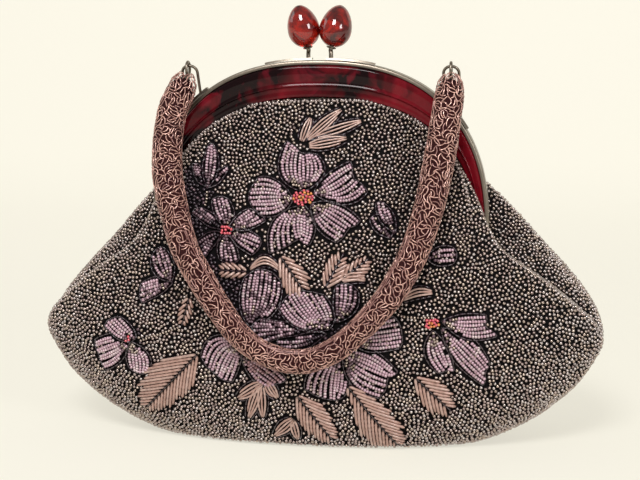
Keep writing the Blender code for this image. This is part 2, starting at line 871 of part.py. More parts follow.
def base_panel_mesh(name):
    """Flat bottom panel inside the lower edges of the walls."""
    outline = []
    for side in (-1, 1):
        row = pouch_row(0, side, MAIN_COLUMNS, 1)
        along = row if side < 0 else list(reversed(row))
        outline.extend(along)
    count = len(outline)
    inset = []
    for i, point in enumerate(outline):
        ahead = outline[(i + 1) % count] - outline[i - 1]
        out = Vector((ahead.y, -ahead.x, 0)).normalized()
        inset.append(point - out * BASE_PANEL_INSET)
    rings = [[Vector((p.x, p.y, z)) for p in inset] for z in (0, FABRIC_THICKNESS)]
    return solid_of_rings(name, rings)


def edge_bead_mesh(name, side):
    """Line of beads along the fabric's upper edge, as a thin cord."""
    first = 2
    heights = [HINGE_HEIGHT + OPENING_RISE * row[0] for row in SHOULDER_SHARES[first:]]
    right = []
    for z in heights:
        edge = section_controls(z, side)[5] - EDGE_BEAD_RADIUS * 2
        lift = (FIT_GAP + EDGE_BEAD_RADIUS) * 1.7
        right.append(Vector((edge, towards(side, wall_depth(edge, z, side) + lift), z)))
    left = [Vector((-p.x, p.y, p.z)) for p in right]
    top = Vector((0, right[-1].y, right[-1].z))
    path = left + [top] + list(reversed(right))
    path = resample(path, len(path) * 2)
    rings = tube_rings(path, [EDGE_BEAD_RADIUS] * len(path), EDGE_BEAD_SIDES)
    return solid_of_rings(name, rings)


def wall_depth(x, z, side):
    """Depth of the pouch's outer face from the parting plane."""
    depth, width, crest, _, _, _, _ = section_controls(z, side)
    across = min(abs(x) / width, 1)
    return crest + (depth - crest) * math.sqrt(1 - across**2)


def lining_depth(x, z):
    """Depth of the front lining's inner face at a place near the middle."""
    return wall_depth(x, z, -1) - FABRIC_THICKNESS - LINING_GAP - LINING_THICKNESS


def pocket_mesh(name):
    """Slip pocket on the front lining: flat at its sewn sides and foot, and open at the top."""
    seat = PLATE_BACK + PLATE_THICKNESS
    outer = []
    inner = []
    for k in range(POCKET_ROWS + 1):
        up = k / POCKET_ROWS
        z = mixed(POCKET_LOW, POCKET_HIGH, up)
        outer_row = []
        inner_row = []
        for j in range(POCKET_COLUMNS + 1):
            across = 2 * j / POCKET_COLUMNS - 1
            x = POCKET_HALF_WIDTH * across
            side_rise = min((1 - abs(across)) * POCKET_HALF_WIDTH / POCKET_HEM, 1)
            foot_rise = min(up * (POCKET_HIGH - POCKET_LOW) / POCKET_HEM, 1)
            away = seat + POCKET_ROOM * min(side_rise, foot_rise)
            y = lining_depth(x, z) - away
            outer_row.append(Vector((x, -y, z)))
            inner_row.append(Vector((x, -(y - POCKET_SHEET), z)))
        outer.append(outer_row)
        inner.append(inner_row)
    return sheet_mesh(name, outer, inner)


# Handle


def handle_axis():
    return Vector((0, -HANDLE_AXIS_FORWARD, HINGE_HEIGHT + HANDLE_AXIS_RISE))


def resample(path, count):
    """Evenly spaced points along a path of straight runs."""
    lengths = [0.0]
    for before, after in zip(path, path[1:]):
        lengths.append(lengths[-1] + (after - before).length)
    made = []
    run = 0
    for k in range(count + 1):
        goal = lengths[-1] * k / count
        while run < len(path) - 2 and lengths[run + 1] < goal:
            run += 1
        share = (goal - lengths[run]) / (lengths[run + 1] - lengths[run])
        made.append(path[run].lerp(path[run + 1], min(max(share, 0), 1)))
    return made


def smooth_line(points, steps):
    """Curve through the points, with a few steps between each pair."""
    made = []
    last = len(points) - 1
    for i in range(last):
        before = points[max(i - 1, 0)]
        start, end = points[i], points[i + 1]
        after = points[min(i + 2, last)]
        for k in range(steps):
            t = k / steps
            a = start * (2 * t**3 - 3 * t**2 + 1) + end * (3 * t**2 - 2 * t**3)
            b = (end - before) * (t**3 - 2 * t**2 + t) / 2
            c = (after - start) * (t**3 - t**2) / 2
            made.append(a + b + c)
    made.append(points[-1])
    return made


def handle_profile():
    """Handle's line as (width, drop), from the left bail to the right one, swayed to the left."""
    left = [Vector((-HANDLE_HALF_SPAN * w, HANDLE_DROP * d, 0)) for d, w in HANDLE_LINE_SHARES]
    right = [Vector((-p.x, p.y, 0)) for p in reversed(left[:-1])]
    swayed = []
    for point in left + right:
        share = point.y / HANDLE_DROP
        sway = HANDLE_SWAY * math.sin(math.pi * min(share / 0.8, 1)) ** 1.5
        swayed.append(Vector((point.x - sway, point.y, 0)))
    return smooth_line(swayed, 4)


def handle_lean():
    """Angle at which the hanging handle just rests against the front of the pouch."""
    axis = handle_axis()
    lean = 0.0
    for _ in range(4):
        needed = 0.0
        for point in handle_profile():
            drop = point.y
            if drop < HANDLE_DROP / 4:
                continue
            z = axis.z - drop * math.cos(lean)
            clear = (HANDLE_RADIUS + HANDLE_REST_GAP) / math.cos(lean)
            reach = wall_depth(point.x, z, -1) + clear - HANDLE_AXIS_FORWARD
            needed = max(needed, math.asin(min(reach / drop, 0.9)))
        lean = needed
    return lean


def handle_path():
    """Handle's centre line in place, as a dense path."""
    axis = handle_axis()
    lean = handle_lean()
    made = []
    for point in handle_profile():
        y = axis.y - point.y * math.sin(lean)
        z = axis.z - point.y * math.cos(lean)
        made.append(Vector((point.x, y, z)))
    return made


def path_length(path):
    return sum((b - a).length for a, b in zip(path, path[1:]))


def part_of_path(path, start, end, count):
    """Evenly spaced points between two distances along a path."""
    total = path_length(path)
    fine = resample(path, 400)
    made = []
    for k in range(count + 1):
        place = mixed(start, end, k / count) / total * 400
        low = min(int(place), 399)
        made.append(fine[low].lerp(fine[low + 1], place - low))
    return made


def sleeve_radius(distance, total):
    """Outer radius of the padded sleeve at a distance along the handle."""
    near = min(distance, total - distance) - CAP_START - CAP_LENGTH
    share = min(max(near / HANDLE_TAPER, 0), 1)
    eased = math.sin(share * math.pi / 2)
    return mixed(HANDLE_END_RADIUS, HANDLE_RADIUS, eased)


def sleeve_mesh(name, path):
    total = path_length(path)
    start = CAP_START + CAP_LENGTH + CAP_END_GAP
    line = part_of_path(path, start, total - start, HANDLE_STEPS)
    outside = []
    inside = []
    for k in range(HANDLE_STEPS + 1):
        radius = sleeve_radius(mixed(start, total - start, k / HANDLE_STEPS), total)
        outside.append(radius)
        inside.append(radius - HANDLE_WALL)
    outer = tube_rings(line, outside, HANDLE_SIDES)
    inner = tube_rings(line, inside, HANDLE_SIDES)
    points = [p for ring in outer for p in ring] + [p for ring in inner for p in ring]
    offset = len(outer) * HANDLE_SIDES
    faces = []
    for k in range(HANDLE_STEPS):
        for j in range(HANDLE_SIDES):
            after = (j + 1) % HANDLE_SIDES
            low = k * HANDLE_SIDES
            high = low + HANDLE_SIDES
            faces.append((low + j, low + after, high + after, high + j))
            faces.append(tuple(offset + i for i in (low + j, high + j, high + after, low + after)))
    for low in (0, HANDLE_STEPS * HANDLE_SIDES):
        for j in range(HANDLE_SIDES):
            after = (j + 1) % HANDLE_SIDES
            faces.append((low + j, low + after, low + after + offset, low + j + offset))
    return mesh_of(name, points, faces)


def core_mesh(name, path):
    """Cord filler inside the sleeve."""
    total = path_length(path)
    start = CAP_START + CAP_LENGTH + CAP_END_GAP
    line = part_of_path(path, start, total - start, CORE_STEPS)
    radii = []
    for k in range(CORE_STEPS + 1):
        radius = sleeve_radius(mixed(start, total - start, k / CORE_STEPS), total)
        radii.append((radius - HANDLE_WALL - CORE_GAP) * math.cos(math.pi / HANDLE_SIDES))
    return solid_of_rings(name, tube_rings(line, radii, CORE_SIDES))


def handle_end(path, mirror):
    """Axis point of a handle end and the direction in which the handle leaves it."""
    fine = resample(path, 400)
    total = path_length(path)
    place = int((CAP_START + CAP_LENGTH) / total * 400) + 1
    if mirror < 0:
        return fine[0], (fine[place] - fine[0]).normalized()
    return fine[-1], (fine[-1 - place] - fine[-1]).normalized()


def cap_mesh(name, path, mirror):
    """Tapered bead-wrapped end of the handle, bored for the ring's shank."""
    start, direction = handle_end(path, mirror)
    bore = RING_SHANK_RADIUS + CAP_BORE_ROOM
    profile = (
        (bore, CAP_START),
        (CAP_TIP_RADIUS * 0.8, CAP_START),
        (CAP_TIP_RADIUS, CAP_START + CAP_LENGTH * 0.12),
        (mixed(CAP_TIP_RADIUS, HANDLE_END_RADIUS, 0.7), CAP_START + CAP_LENGTH * 0.6),
        (HANDLE_END_RADIUS, CAP_START + CAP_LENGTH),
        (bore, CAP_START + CAP_LENGTH),
    )
    return pierced(name, profile, start, direction, CAP_SIDES)


def build_ring(name, path, mirror, look, pivot, smooth_angle):
    """Wire ring that rides on the bail, with a shank set into the handle's end."""
    start, direction = handle_end(path, mirror)
    sag = RING_RADIUS - RING_WIRE_RADIUS - BAIL_WIRE_RADIUS - FIT_GAP
    centre = start + direction * sag
    across = Vector((1, 0, 0))
    up = (direction - across * direction.dot(across)).normalized()
    forward = across.cross(up)
    points = []
    for k in range(RING_STEPS):
        turn = math.tau * k / RING_STEPS
        out = up * math.cos(turn) + forward * math.sin(turn)
        for j in range(BAIL_SIDES):
            round_turn = math.tau * j / BAIL_SIDES
            lift = out * math.cos(round_turn) + across * math.sin(round_turn)
            points.append(centre + out * RING_RADIUS + lift * RING_WIRE_RADIUS)
    faces = []
    for k in range(RING_STEPS):
        for j in range(BAIL_SIDES):
            after = (j + 1) % BAIL_SIDES
            low = k * BAIL_SIDES
            high = (k + 1) % RING_STEPS * BAIL_SIDES
            faces.append((low + j, low + after, high + after, high + j))
    ring = new_object(name, mesh_of(name, points, faces), look, pivot, smooth_angle)
    shank_start = centre + up * RING_RADIUS
    length = CAP_START + RING_SHANK_LENGTH - (shank_start - start).dot(direction)
    profile = ((0, 0), (RING_SHANK_RADIUS, 0), (RING_SHANK_RADIUS, length), (0, length))
    shank_axis = (start + direction * (CAP_START + RING_SHANK_LENGTH) - shank_start).normalized()
    shank = turned(name + "_shank", profile, shank_start, shank_axis, BAIL_SIDES)
    join(ring, [new_object(name + "_shank", shank, look, pivot, smooth_angle)])
    return ring


def bail_leg_base(width):
    """Middle of the bail's foot plate at a distance from the middle of the bag."""
    angle = angle_at_width(width)
    out = -inward(outer_point, angle)
    point = outer_point(angle) + out * (FIT_GAP + BAIL_FOOT_THICKNESS / 2)
    return Vector((point.x, -clasp_middle(), point.z))


def build_bail(name, mirror, look, pivot, smooth_angle):
    """Upright wire loop on a small foot plate, which is soldered to the front rim."""
    axis = handle_axis()
    inner = bail_leg_base(HANDLE_HALF_SPAN - BAIL_HALF_WIDTH)
    outer = bail_leg_base(HANDLE_HALF_SPAN + BAIL_HALF_WIDTH)
    foot_middle = (inner + outer) / 2
    top = Vector((HANDLE_HALF_SPAN, axis.y, axis.z))
    lean = Vector((0, top.y - foot_middle.y, top.z - foot_middle.z)).normalized()
    bend = top - lean * BAIL_HALF_WIDTH
    path = [inner]
    for k in range(BAIL_BEND_STEPS + 1):
        turn = math.pi * k / BAIL_BEND_STEPS
        side = Vector((-math.cos(turn) * BAIL_HALF_WIDTH, 0, 0))
        path.append(bend + side + lean * BAIL_HALF_WIDTH * math.sin(turn))
    path.append(outer)
    path = [Vector((mirror * p.x, p.y, p.z)) for p in path]
    wire = solid_of_rings(name, tube_rings(path, [BAIL_WIRE_RADIUS] * len(path), BAIL_SIDES))
    bail = new_object(name, wire, look, pivot, smooth_angle)
    rings = []
    low = HANDLE_HALF_SPAN - BAIL_HALF_WIDTH - BAIL_FOOT_OVERHANG
    high = HANDLE_HALF_SPAN + BAIL_HALF_WIDTH + BAIL_FOOT_OVERHANG
    for k in range(BAIL_FOOT_STEPS + 1):
        angle = angle_at_width(mixed(low, high, k / BAIL_FOOT_STEPS))
        out = -inward(outer_point, angle)
        under = outer_point(angle) + out * FIT_GAP
        over = under + out * BAIL_FOOT_THICKNESS
        ring = []
        for point, y in ((under, -1), (over, -1), (over, 1), (under, 1)):
            depth = clasp_middle() + y * BAIL_FOOT_WIDTH / 2
            ring.append(Vector((mirror * point.x, -depth, point.z)))
        rings.append(ring)
    foot = solid_of_rings(name + "_foot", rings)
    join(bail, [new_object(name + "_foot", foot, look, pivot, smooth_angle)])
    return bail


def main():
    clear_scene()
    nickel = material("polished nickel", (0.78, 0.77, 0.74), 0.16, metallic=1.0)
    resin = material("marbled red resin", (0.24, 0.02, 0.03), 0.12)
    knob_red = material("amber red resin", (0.42, 0.05, 0.03), 0.06, transmission=0.5)
    beads = material("plum seed beads", (0.13, 0.10, 0.11), 0.35, metallic=0.3)
    edge_beads = material("plum edge beads", (0.16, 0.12, 0.13), 0.35, metallic=0.3)
    strands = material("rose bead strands", (0.30, 0.15, 0.15), 0.45)
    cord = material("cotton cord", (0.55, 0.50, 0.44), 0.9)
    satin = material("plum satin", (0.16, 0.06, 0.09), 0.45)
    soft = math.radians(60)
    crisp = math.radians(30)
    still = Vector((0, 0, 0))
    hinge = Vector((0, 0, HINGE_HEIGHT))
    swing = handle_axis()

    for label, side, pivot in (("front", -1, still), ("rear", 1, hinge)):
        build_rim(label + "_rim", side, nickel, pivot, crisp)
        name = label + "_resin_arch"
        new_object(name, resin_mesh(name, side), resin, pivot, crisp)
        name = label + "_frame_plate"
        new_object(name, plate_mesh(name, side), nickel, pivot, crisp)
        build_clasp_arm(label + "_clasp_arm", side, nickel, pivot, crisp)
        name = label + "_clasp_knob"
        new_object(name, knob_mesh(name, side), knob_red, pivot, soft)
        name = label + "_edge_beads"
        new_object(name, edge_bead_mesh(name, side), edge_beads, pivot, soft)

    seam = FIT_GAP / 2
    below = [*wall_heights()[:-1], HINGE_HEIGHT - seam]
    above = [HINGE_HEIGHT + seam, *yoke_heights()]
    whole = wall_heights() + yoke_heights()
    new_object("front_panel", fabric_mesh("front_panel", -1, whole), beads, still, soft)
    new_object("back_panel", fabric_mesh("back_panel", 1, below), beads, still, soft)
    new_object("back_yoke", fabric_mesh("back_yoke", 1, above), beads, hinge, soft)
    new_object("base_panel", base_panel_mesh("base_panel"), beads, still, crisp)
    # The lining ends one row lower than the fabric, behind the frame plate
    new_object("lining_front", lining_mesh("lining_front", -1, whole[:-1]), satin, still, soft)
    new_object("lining_back", lining_mesh("lining_back", 1, below), satin, still, soft)
    new_object("lining_yoke", lining_mesh("lining_yoke", 1, above[:-1]), satin, hinge, soft)
    new_object("lining_pocket", pocket_mesh("lining_pocket"), satin, still, soft)

    path = handle_path()
    new_object("handle_sleeve", sleeve_mesh("handle_sleeve", path), strands, swing, soft)
    new_object("handle_core", core_mesh("handle_core", path), cord, swing, soft)
    for label, mirror in (("left", -1), ("right", 1)):
        name = "hinge_rivet_" + label
        new_object(name, rivet_mesh(name, mirror), nickel, still, crisp)
        build_bail("handle_bail_" + label, mirror, nickel, still, soft)
        name = "handle_cap_" + label
        new_object(name, cap_mesh(name, path, mirror), strands, swing, soft)
        build_ring("handle_ring_" + label, path, mirror, nickel, swing, soft)


main()
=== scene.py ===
"""Beaded evening handbag: beadwork, embroidery, moulded resin frame, satin lining and padded handle."""

import functools
import itertools
import math

import bmesh
import bpy
import numpy as np
from bpy.props import FloatProperty, FloatVectorProperty, PointerProperty
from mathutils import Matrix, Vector, noise
from mathutils.bvhtree import BVHTree
from mathutils.kdtree import KDTree


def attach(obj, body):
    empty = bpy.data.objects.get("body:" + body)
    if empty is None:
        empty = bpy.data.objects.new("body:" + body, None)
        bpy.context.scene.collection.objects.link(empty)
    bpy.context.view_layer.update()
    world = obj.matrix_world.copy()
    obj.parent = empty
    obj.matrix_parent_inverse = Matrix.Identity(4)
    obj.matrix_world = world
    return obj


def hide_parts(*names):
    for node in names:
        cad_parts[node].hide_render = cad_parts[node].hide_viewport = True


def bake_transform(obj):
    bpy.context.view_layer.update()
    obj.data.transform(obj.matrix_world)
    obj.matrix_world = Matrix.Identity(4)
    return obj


bl_info = {
    "name": "Beaded handbag",
    "version": (1, 0, 0),
    "blender": (4, 5, 0),
    "location": "View3D > Sidebar > Handbag",
    "description": "Builds the beadwork, frame, lining and handle of an evening bag",
    "category": "Add Mesh",
}

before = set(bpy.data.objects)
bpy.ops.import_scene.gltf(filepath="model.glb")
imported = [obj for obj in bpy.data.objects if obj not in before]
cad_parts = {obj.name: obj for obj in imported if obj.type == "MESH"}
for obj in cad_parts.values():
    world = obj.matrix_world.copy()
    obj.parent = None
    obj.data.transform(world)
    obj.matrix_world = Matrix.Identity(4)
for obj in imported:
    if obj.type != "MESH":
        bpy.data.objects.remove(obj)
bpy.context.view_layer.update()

MM = 0.001

# Halves of the frame with the side of Y and the body they ride on, and ends of the handle with the side of X
HALVES = (("front", -1, "bag"), ("rear", 1, "rear_frame"))
ENDS = (("left", -1), ("right", 1))

# Frame arch, in metres, measured from the hinge axis
HINGE_Z = 0.101
FRAME_HALF_WIDTH = 0.082
FRAME_RISE = 0.082
FRAME_POWER = 2.4
OPENING_HALF_WIDTH = 0.0755
OPENING_RISE = 0.0643
OPENING_POWER = 2.35
HALF_SEAM = 0.00015
FIT_GAP = 0.0003
RIM_WIDTH = 0.0019
RIM_DEPTH = 0.0068
RESIN_CREST = 0.0075
RESIN_EDGE = 0.0052
CLASP_DEPTH = 0.00355
ARCH_STEPS = 132
# Nickel sheet of the rims
SHEET = 0.0009
# Inner and outer head of a hinge rivet, and its shank
RIVET_INNER = 0.07915
RIVET_OUTER = 0.08225
SHANK_RADIUS = 0.0013
EYE_RADIUS = 0.0046

# Clasp: foot of the rear knob's bore, lean of the knobs in degrees, sizes of knob, bore and stem
KNOB_FOOT = (0.00605, 0.00187, 0.18964)
KNOB_LEAN = (12, 9)
KNOB_HEIGHT = 0.020
KNOB_RADIUS = 0.0078
BORE_DEPTH = 0.006
BORE_RADIUS = 0.00135
STEM_RADIUS = 0.00105
STEM_FOOT = 0.006
# Upper face of the clasp's strip, over the rim
STRIP_TOP = 0.0012

# Bails: top of the loop, half its width, its wire, and the plate under it
BAIL_TOP_Y = -0.0135
BAIL_TOP_Z = 0.1805
BAIL_HALF_WIDTH = 0.0036
BAIL_WIRE = 0.0007
PLATE_HALF_LENGTH = 0.0071
PLATE_TOP = 0.0013

# Pouch
TOP_Z = 0.1649
TIP_Z = 0.050
BASE_HALF_LENGTH = 0.075
BASE_HALF_DEPTH = 0.026
POUCH_HALF_WIDTH = 0.1375
POUCH_HALF_DEPTH = 0.040
HINGE_HALF_DEPTH = 0.028
SHOULDER_BULGE = 0.027
FRONT_LOBE = 0.34
SHOULDER_DEPTH = 0.020
EDGE_FRONT = 0.0053
LOBE_CLEARANCE = 0.0008
# The cloth runs on this far past the edge at which it meets the resin
SEAT = 0.0006
FOLD_EDGE = 0.0016
# Row of beads down each side seam, and how far under the hinge it ends
SEAM_ROW_RADIUS = 0.00112
SEAM_ROW_END = 0.0105
CLOTH_THICKNESS = 0.0016
CLOTH_INSET = 0.0006
CLOTH_SHEET = 0.0009
FLOOR_GAP = 0.0001
LINING_GAP = 0.0011
LINING_THICKNESS = 0.0007
LINING_INSET = CLOTH_THICKNESS + LINING_GAP
LINING_LOW = 0.0035
LINING_HIGH = TOP_Z - 0.005
# Two places up the rear wall, given to the rear pieces, which are then left unattached to a body
REAR_BEND = ((0, 0.03, 0.033), (0, 0.028, 0.104))
ARC_COLUMNS = 34
RETURN_COLUMNS = 10
MOST_BEADS = 5000
# No ground bead lies nearer to the embroidery than this
SEWN_CLEARANCE = 1.30 * MM
# Long glass tubes at the edges of petals and leaves: length in millimetres, radius, lift, least height
BUGLE_LENGTH = 2.9
BUGLE_RADIUS = 0.38 * MM
BUGLE_LIFT = 0.45 * MM
BUGLE_FLOOR = 0.46 * MM
# Line of beads at the frame
EDGE_BEAD_RADIUS = 0.00098
EDGE_BEAD_STEP = 0.00205

# Base beads: half sizes of the oval they fill, distance apart, radius and height
BASE_BEADS_HALF_LENGTH = 0.0735
BASE_BEADS_HALF_DEPTH = 0.0235
BASE_BEADS_GAP = 0.00184
BASE_BEAD_RADIUS = 0.001
BASE_BEAD_HEIGHT = 0.00105

# Slip pocket: half width, foot, height, ease towards its edges, depth, thickness and hem
POCKET_HALF_WIDTH = 0.038
POCKET_FOOT = 0.036
POCKET_HEIGHT = 0.048
POCKET_EASE = 0.004
POCKET_DEPTH = 0.009
POCKET_THICKNESS = 0.0007
POCKET_HEM = 0.0004

# Height, width from base to tips, depth from base to belly
BELLY = (
    (0.00, 0.00, 0.00),
    (0.05, 0.15, 0.24),
    (0.14, 0.33, 0.46),
    (0.32, 0.56, 0.70),
    (0.60, 0.81, 0.94),
    (1.00, 1.00, 0.99),
)
# Height, width, side fold, depth, crest of the side lobe
WAIST = (
    (0.00, 1.00, 1.00, 0.99, 0.20),
    (0.16, 0.97, 0.93, 0.90, 0.45),
    (0.33, 0.86, 0.75, 0.71, 0.78),
    (0.58, 0.57, 0.47, 0.43, 1.02),
    (0.80, 0.26, 0.16, 0.19, 1.07),
    (0.89, 0.14, 0.00, 0.11, 1.05),
    (1.00, 0.00, 0.00, 0.00, 1.00),
)
# Height, bulge of the rear wall past the frame, depth, depth of the shoulder, bulge of the front wall
SHOULDER = (
    (0.00, 1.00, 1.00, 1.00, FRONT_LOBE),
    (0.07, 0.86, 0.93, 0.91, 0.23),
    (0.28, 0.43, 0.73, 0.66, 0.07),
    (0.48, 0.06, 0.52, 0.34, 0.00),
    (0.66, 0.00, 0.32, 0.13, 0.00),
    (0.82, 0.00, 0.17, 0.05, 0.00),
    (0.93, 0.00, 0.07, 0.016, 0.00),
    (0.994, 0.00, 0.022, 0.00, 0.00),
)
# Two-step moulding of the resin: place across the band, height towards the crest
MOULDING = (
    (0.00, 0.55),
    (0.03, 0.84),
    (0.07, 0.99),
    (0.12, 1.00),
    (0.22, 0.93),
    (0.34, 0.83),
    (0.46, 0.71),
    (0.54, 0.62),
    (0.558, 0.62),
    (0.575, 0.67),
    (0.595, 0.745),
    (0.612, 0.765),
    (0.628, 0.72),
    (0.645, 0.56),
    (0.665, 0.36),
    (0.70, 0.28),
    (0.80, 0.23),
    (0.90, 0.18),
    (0.96, 0.12),
)
# Egg-shaped knob: height and radius as shares
KNOB = (
    (0.00, 0.32),
    (0.02, 0.45),
    (0.05, 0.57),
    (0.12, 0.75),
    (0.22, 0.91),
    (0.33, 0.99),
    (0.43, 1.00),
    (0.55, 0.96),
    (0.67, 0.87),
    (0.79, 0.72),
    (0.89, 0.53),
    (0.95, 0.36),
    (0.985, 0.20),
)

# Handle's centre line from the left bail to the right one, in millimetres
HANDLE_LINE = (
    (-60.8, -13.5, 180.5),
    (-64.1, -16.83, 168.21),
    (-68.3, -19.87, 157.01),
    (-69.2, -25.83, 135.02),
    (-66.6, -29.64, 120.95),
    (-62.23, -33.71, 105.93),
    (-56.8, -37.23, 92.96),
    (-47.98, -40.85, 79.57),
    (-40.0, -43.85, 68.51),
    (-32.51, -46.29, 59.5),
    (-23.0, -47.4, 51.8),
    (-13.6, -48.1, 48.0),
    (-5.0, -48.3, 46.6),
    (3.8, -48.2, 47.6),
    (13.4, -47.6, 52.2),
    (23.2, -46.3, 60.0),
    (31.8, -44.3, 68.9),
    (40.2, -41.3, 79.9),
    (47.2, -37.7, 92.96),
    (52.2, -34.0, 105.93),
    (56.0, -29.8, 120.95),
    (58.7, -25.9, 135.02),
    (61.8, -19.9, 157.01),
    (63.0, -16.83, 168.21),
    (63.5, -13.5, 180.5),
)
HANDLE_RADIUS = 7.0
HANDLE_END_RADIUS = 6.9
LOOP_THINNING = 0.23
# Curled strands: tries up to a number at a length, and the stations that keep apart
STRAND_TRIES = ((30000, 4.8), (65000, 3.6), (100000, 2.4))
STRAND_MIDDLE = [3, 4, 2, 5]
CAP_START = 6.6
CAP_LENGTH = 8.0
CAP_END = CAP_START + CAP_LENGTH
SLEEVE_SINK = -0.22
INNER_ROW_RADIUS = 0.00030
# Ring at each end: radius of its line and of its wire, and distance from the end of the line
RING_RADIUS = 3.3
RING_WIRE = 0.7
RING_PLACE = 1.6

# Petals in bead rows, as (x, z) in millimetres on the front wall:
# tone, foot, left middle, left tip, notch, right tip, right middle
PETALS = (
    ("lav", (-4.4, 123), (-15.4, 130), (-13.5, 143.9), (-6.2, 137.9), (0.8, 137.6), (3.7, 130.3)),
    ("lav", (1.5, 121.2), (6.3, 128.4), (16.3, 134.9), (17.3, 127.9), (24.5, 122.2), (15.5, 117.2)),
    ("lav", (0.3, 115.9), (11.6, 115.7), (21.8, 109.5), (16.1, 106), (11.7, 100.2), (3.1, 106.7)),
    ("lav", (-4.3, 114.5), (0.7, 106.7), (-1.5, 98.5), (-5.9, 101.5), (-18.7, 94.4), (-17.3, 108.2)),
    ("lav", (-10.4, 118.6), (-15.5, 112.4), (-23.6, 111.3), (-29.6, 118.5), (-25.6, 127.3), (-18.4, 126.1)),
    ("mid", (-40.9, 105.8), (-45.9, 110.8), (-47.8, 116.5), (-44.5, 117.6), (-40.6, 116.4), (-38.3, 110.3)),
    ("dark", (-43.5, 104.4), (-49.9, 106.5), (-56.8, 110.2), (-55.5, 112.3), (-51.7, 112.2), (-46.2, 108.5)),
    ("mid", (-38.2, 105.8), (-34.4, 110.1), (-31.1, 112.5), (-26.6, 111.2), (-23.2, 108.1), (-31.3, 104.8)),
    ("mid", (-37.9, 102), (-33.2, 103.5), (-26, 101), (-24.8, 97.8), (-28.7, 93.4), (-34.6, 97.6)),
    ("mid", (-40.6, 100.7), (-36.6, 96.3), (-34.6, 91), (-38.7, 89.9), (-42.9, 91.2), (-43.4, 96.7)),
    ("dark", (-43.4, 101.9), (-46.9, 97.1), (-49.8, 92.3), (-51.6, 95.2), (-53.2, 98.7), (-48.1, 101.4)),
    ("mid", (-51.2, 123.5), (-53.3, 131.9), (-52, 141.8), (-50.6, 142.1), (-48.9, 139.8), (-47.5, 131.4)),
    ("dark", (-51.2, 123.5), (-56.6, 127.3), (-59.1, 132.7), (-57.9, 133.2), (-56.1, 132.4), (-52.9, 126.7)),
    ("mid", (-50.8, 123.5), (-48.1, 128.5), (-43.2, 132.1), (-42.4, 131.5), (-42.7, 130.5), (-46.8, 125.6)),
    ("mid", (38.6, 104.6), (32.4, 110.4), (30.5, 116.2), (33, 116.7), (35.4, 114.5), (38.3, 109.1)),
    ("mid", (36.5, 102.3), (30.5, 105.5), (28.2, 109.3), (30.4, 110.9), (32.7, 111.2), (36.7, 106.3)),
    ("lav", (62.9, 64.3), (70.5, 66.5), (80.6, 67), (80, 62.3), (85.9, 58.1), (73.5, 57.4)),
    ("lav", (62.4, 60.5), (73.8, 57.1), (82.4, 46.9), (80.7, 41.7), (80.4, 35.4), (68.4, 47)),
    ("lav", (58.1, 59.1), (64.2, 51.4), (66.9, 42.2), (63.9, 43.7), (60.4, 41.5), (55.1, 50.6)),
    ("mid", (55.5, 92.8), (59.3, 96.7), (64.9, 97.2), (66.7, 94.3), (65.2, 90.7), (59.4, 90.5)),
    ("lav", (9.4, 60.6), (-4.1, 60.6), (-12.8, 68), (-6, 75.6), (7, 74.1), (11.3, 66.4)),
    ("mid", (13.9, 64.1), (12.7, 71.2), (12.7, 77.7), (17.1, 79.7), (22.3, 76.3), (21.2, 69)),
    ("dusk", (6.6, 58.5), (-6.6, 57.5), (-19.8, 52.6), (-25.2, 59.2), (-20.8, 63.5), (-5.4, 61.1)),
    ("dusk", (7.9, 57.6), (-1.4, 51.8), (-10.9, 50.8), (-13, 54.4), (-9.1, 57.2), (-1.5, 58.2)),
    ("lav", (21.6, 55.8), (27.7, 62), (39, 65.5), (42.3, 58.6), (41.6, 52.4), (28.5, 51.3)),
    ("lav", (17.7, 48.9), (28.5, 50.7), (40.8, 41), (36.5, 39), (32.9, 29.1), (21.1, 35.5)),
    ("lav", (14.6, 46.9), (18.6, 37.3), (16.4, 29.4), (11, 27.8), (-0.4, 32.5), (3.6, 42)),
    ("mid", (-27.1, 61), (-31.6, 70), (-30.5, 81), (-22.3, 85), (-13.9, 79.6), (-16.2, 68)),
    ("lav", (-31.4, 52.4), (-33.1, 42.1), (-36.2, 34.4), (-43.4, 37.6), (-49.9, 45.4), (-44.1, 54)),
    ("rose", (-31.1, 45.8), (-25.1, 35.7), (-19.4, 32.4), (-15.4, 34.5), (-10.9, 36.3), (-20.5, 44.3)),
    ("lav", (-84.9, 51.9), (-92.1, 51), (-99.2, 56.1), (-96.1, 59.1), (-91.1, 60.1), (-86.2, 55.7)),
    ("lav", (-87.9, 49.7), (-93.2, 40), (-100.6, 35), (-103.2, 42), (-104.8, 48.8), (-95.7, 51.8)),
    ("lav", (-85.7, 48.5), (-78.1, 43.1), (-78.6, 36.6), (-83.1, 35.1), (-87.4, 37.4), (-88.4, 43.5)),
    ("mid", (-67, 80), (-73.9, 82.6), (-76.4, 88.4), (-73.1, 93.7), (-69.6, 92.4), (-66.4, 86.3)),
    ("mid", (-66.9, 78.2), (-73.2, 73.3), (-79.9, 69.4), (-80.9, 74.5), (-79.9, 77.8), (-72.5, 80.1)),
)
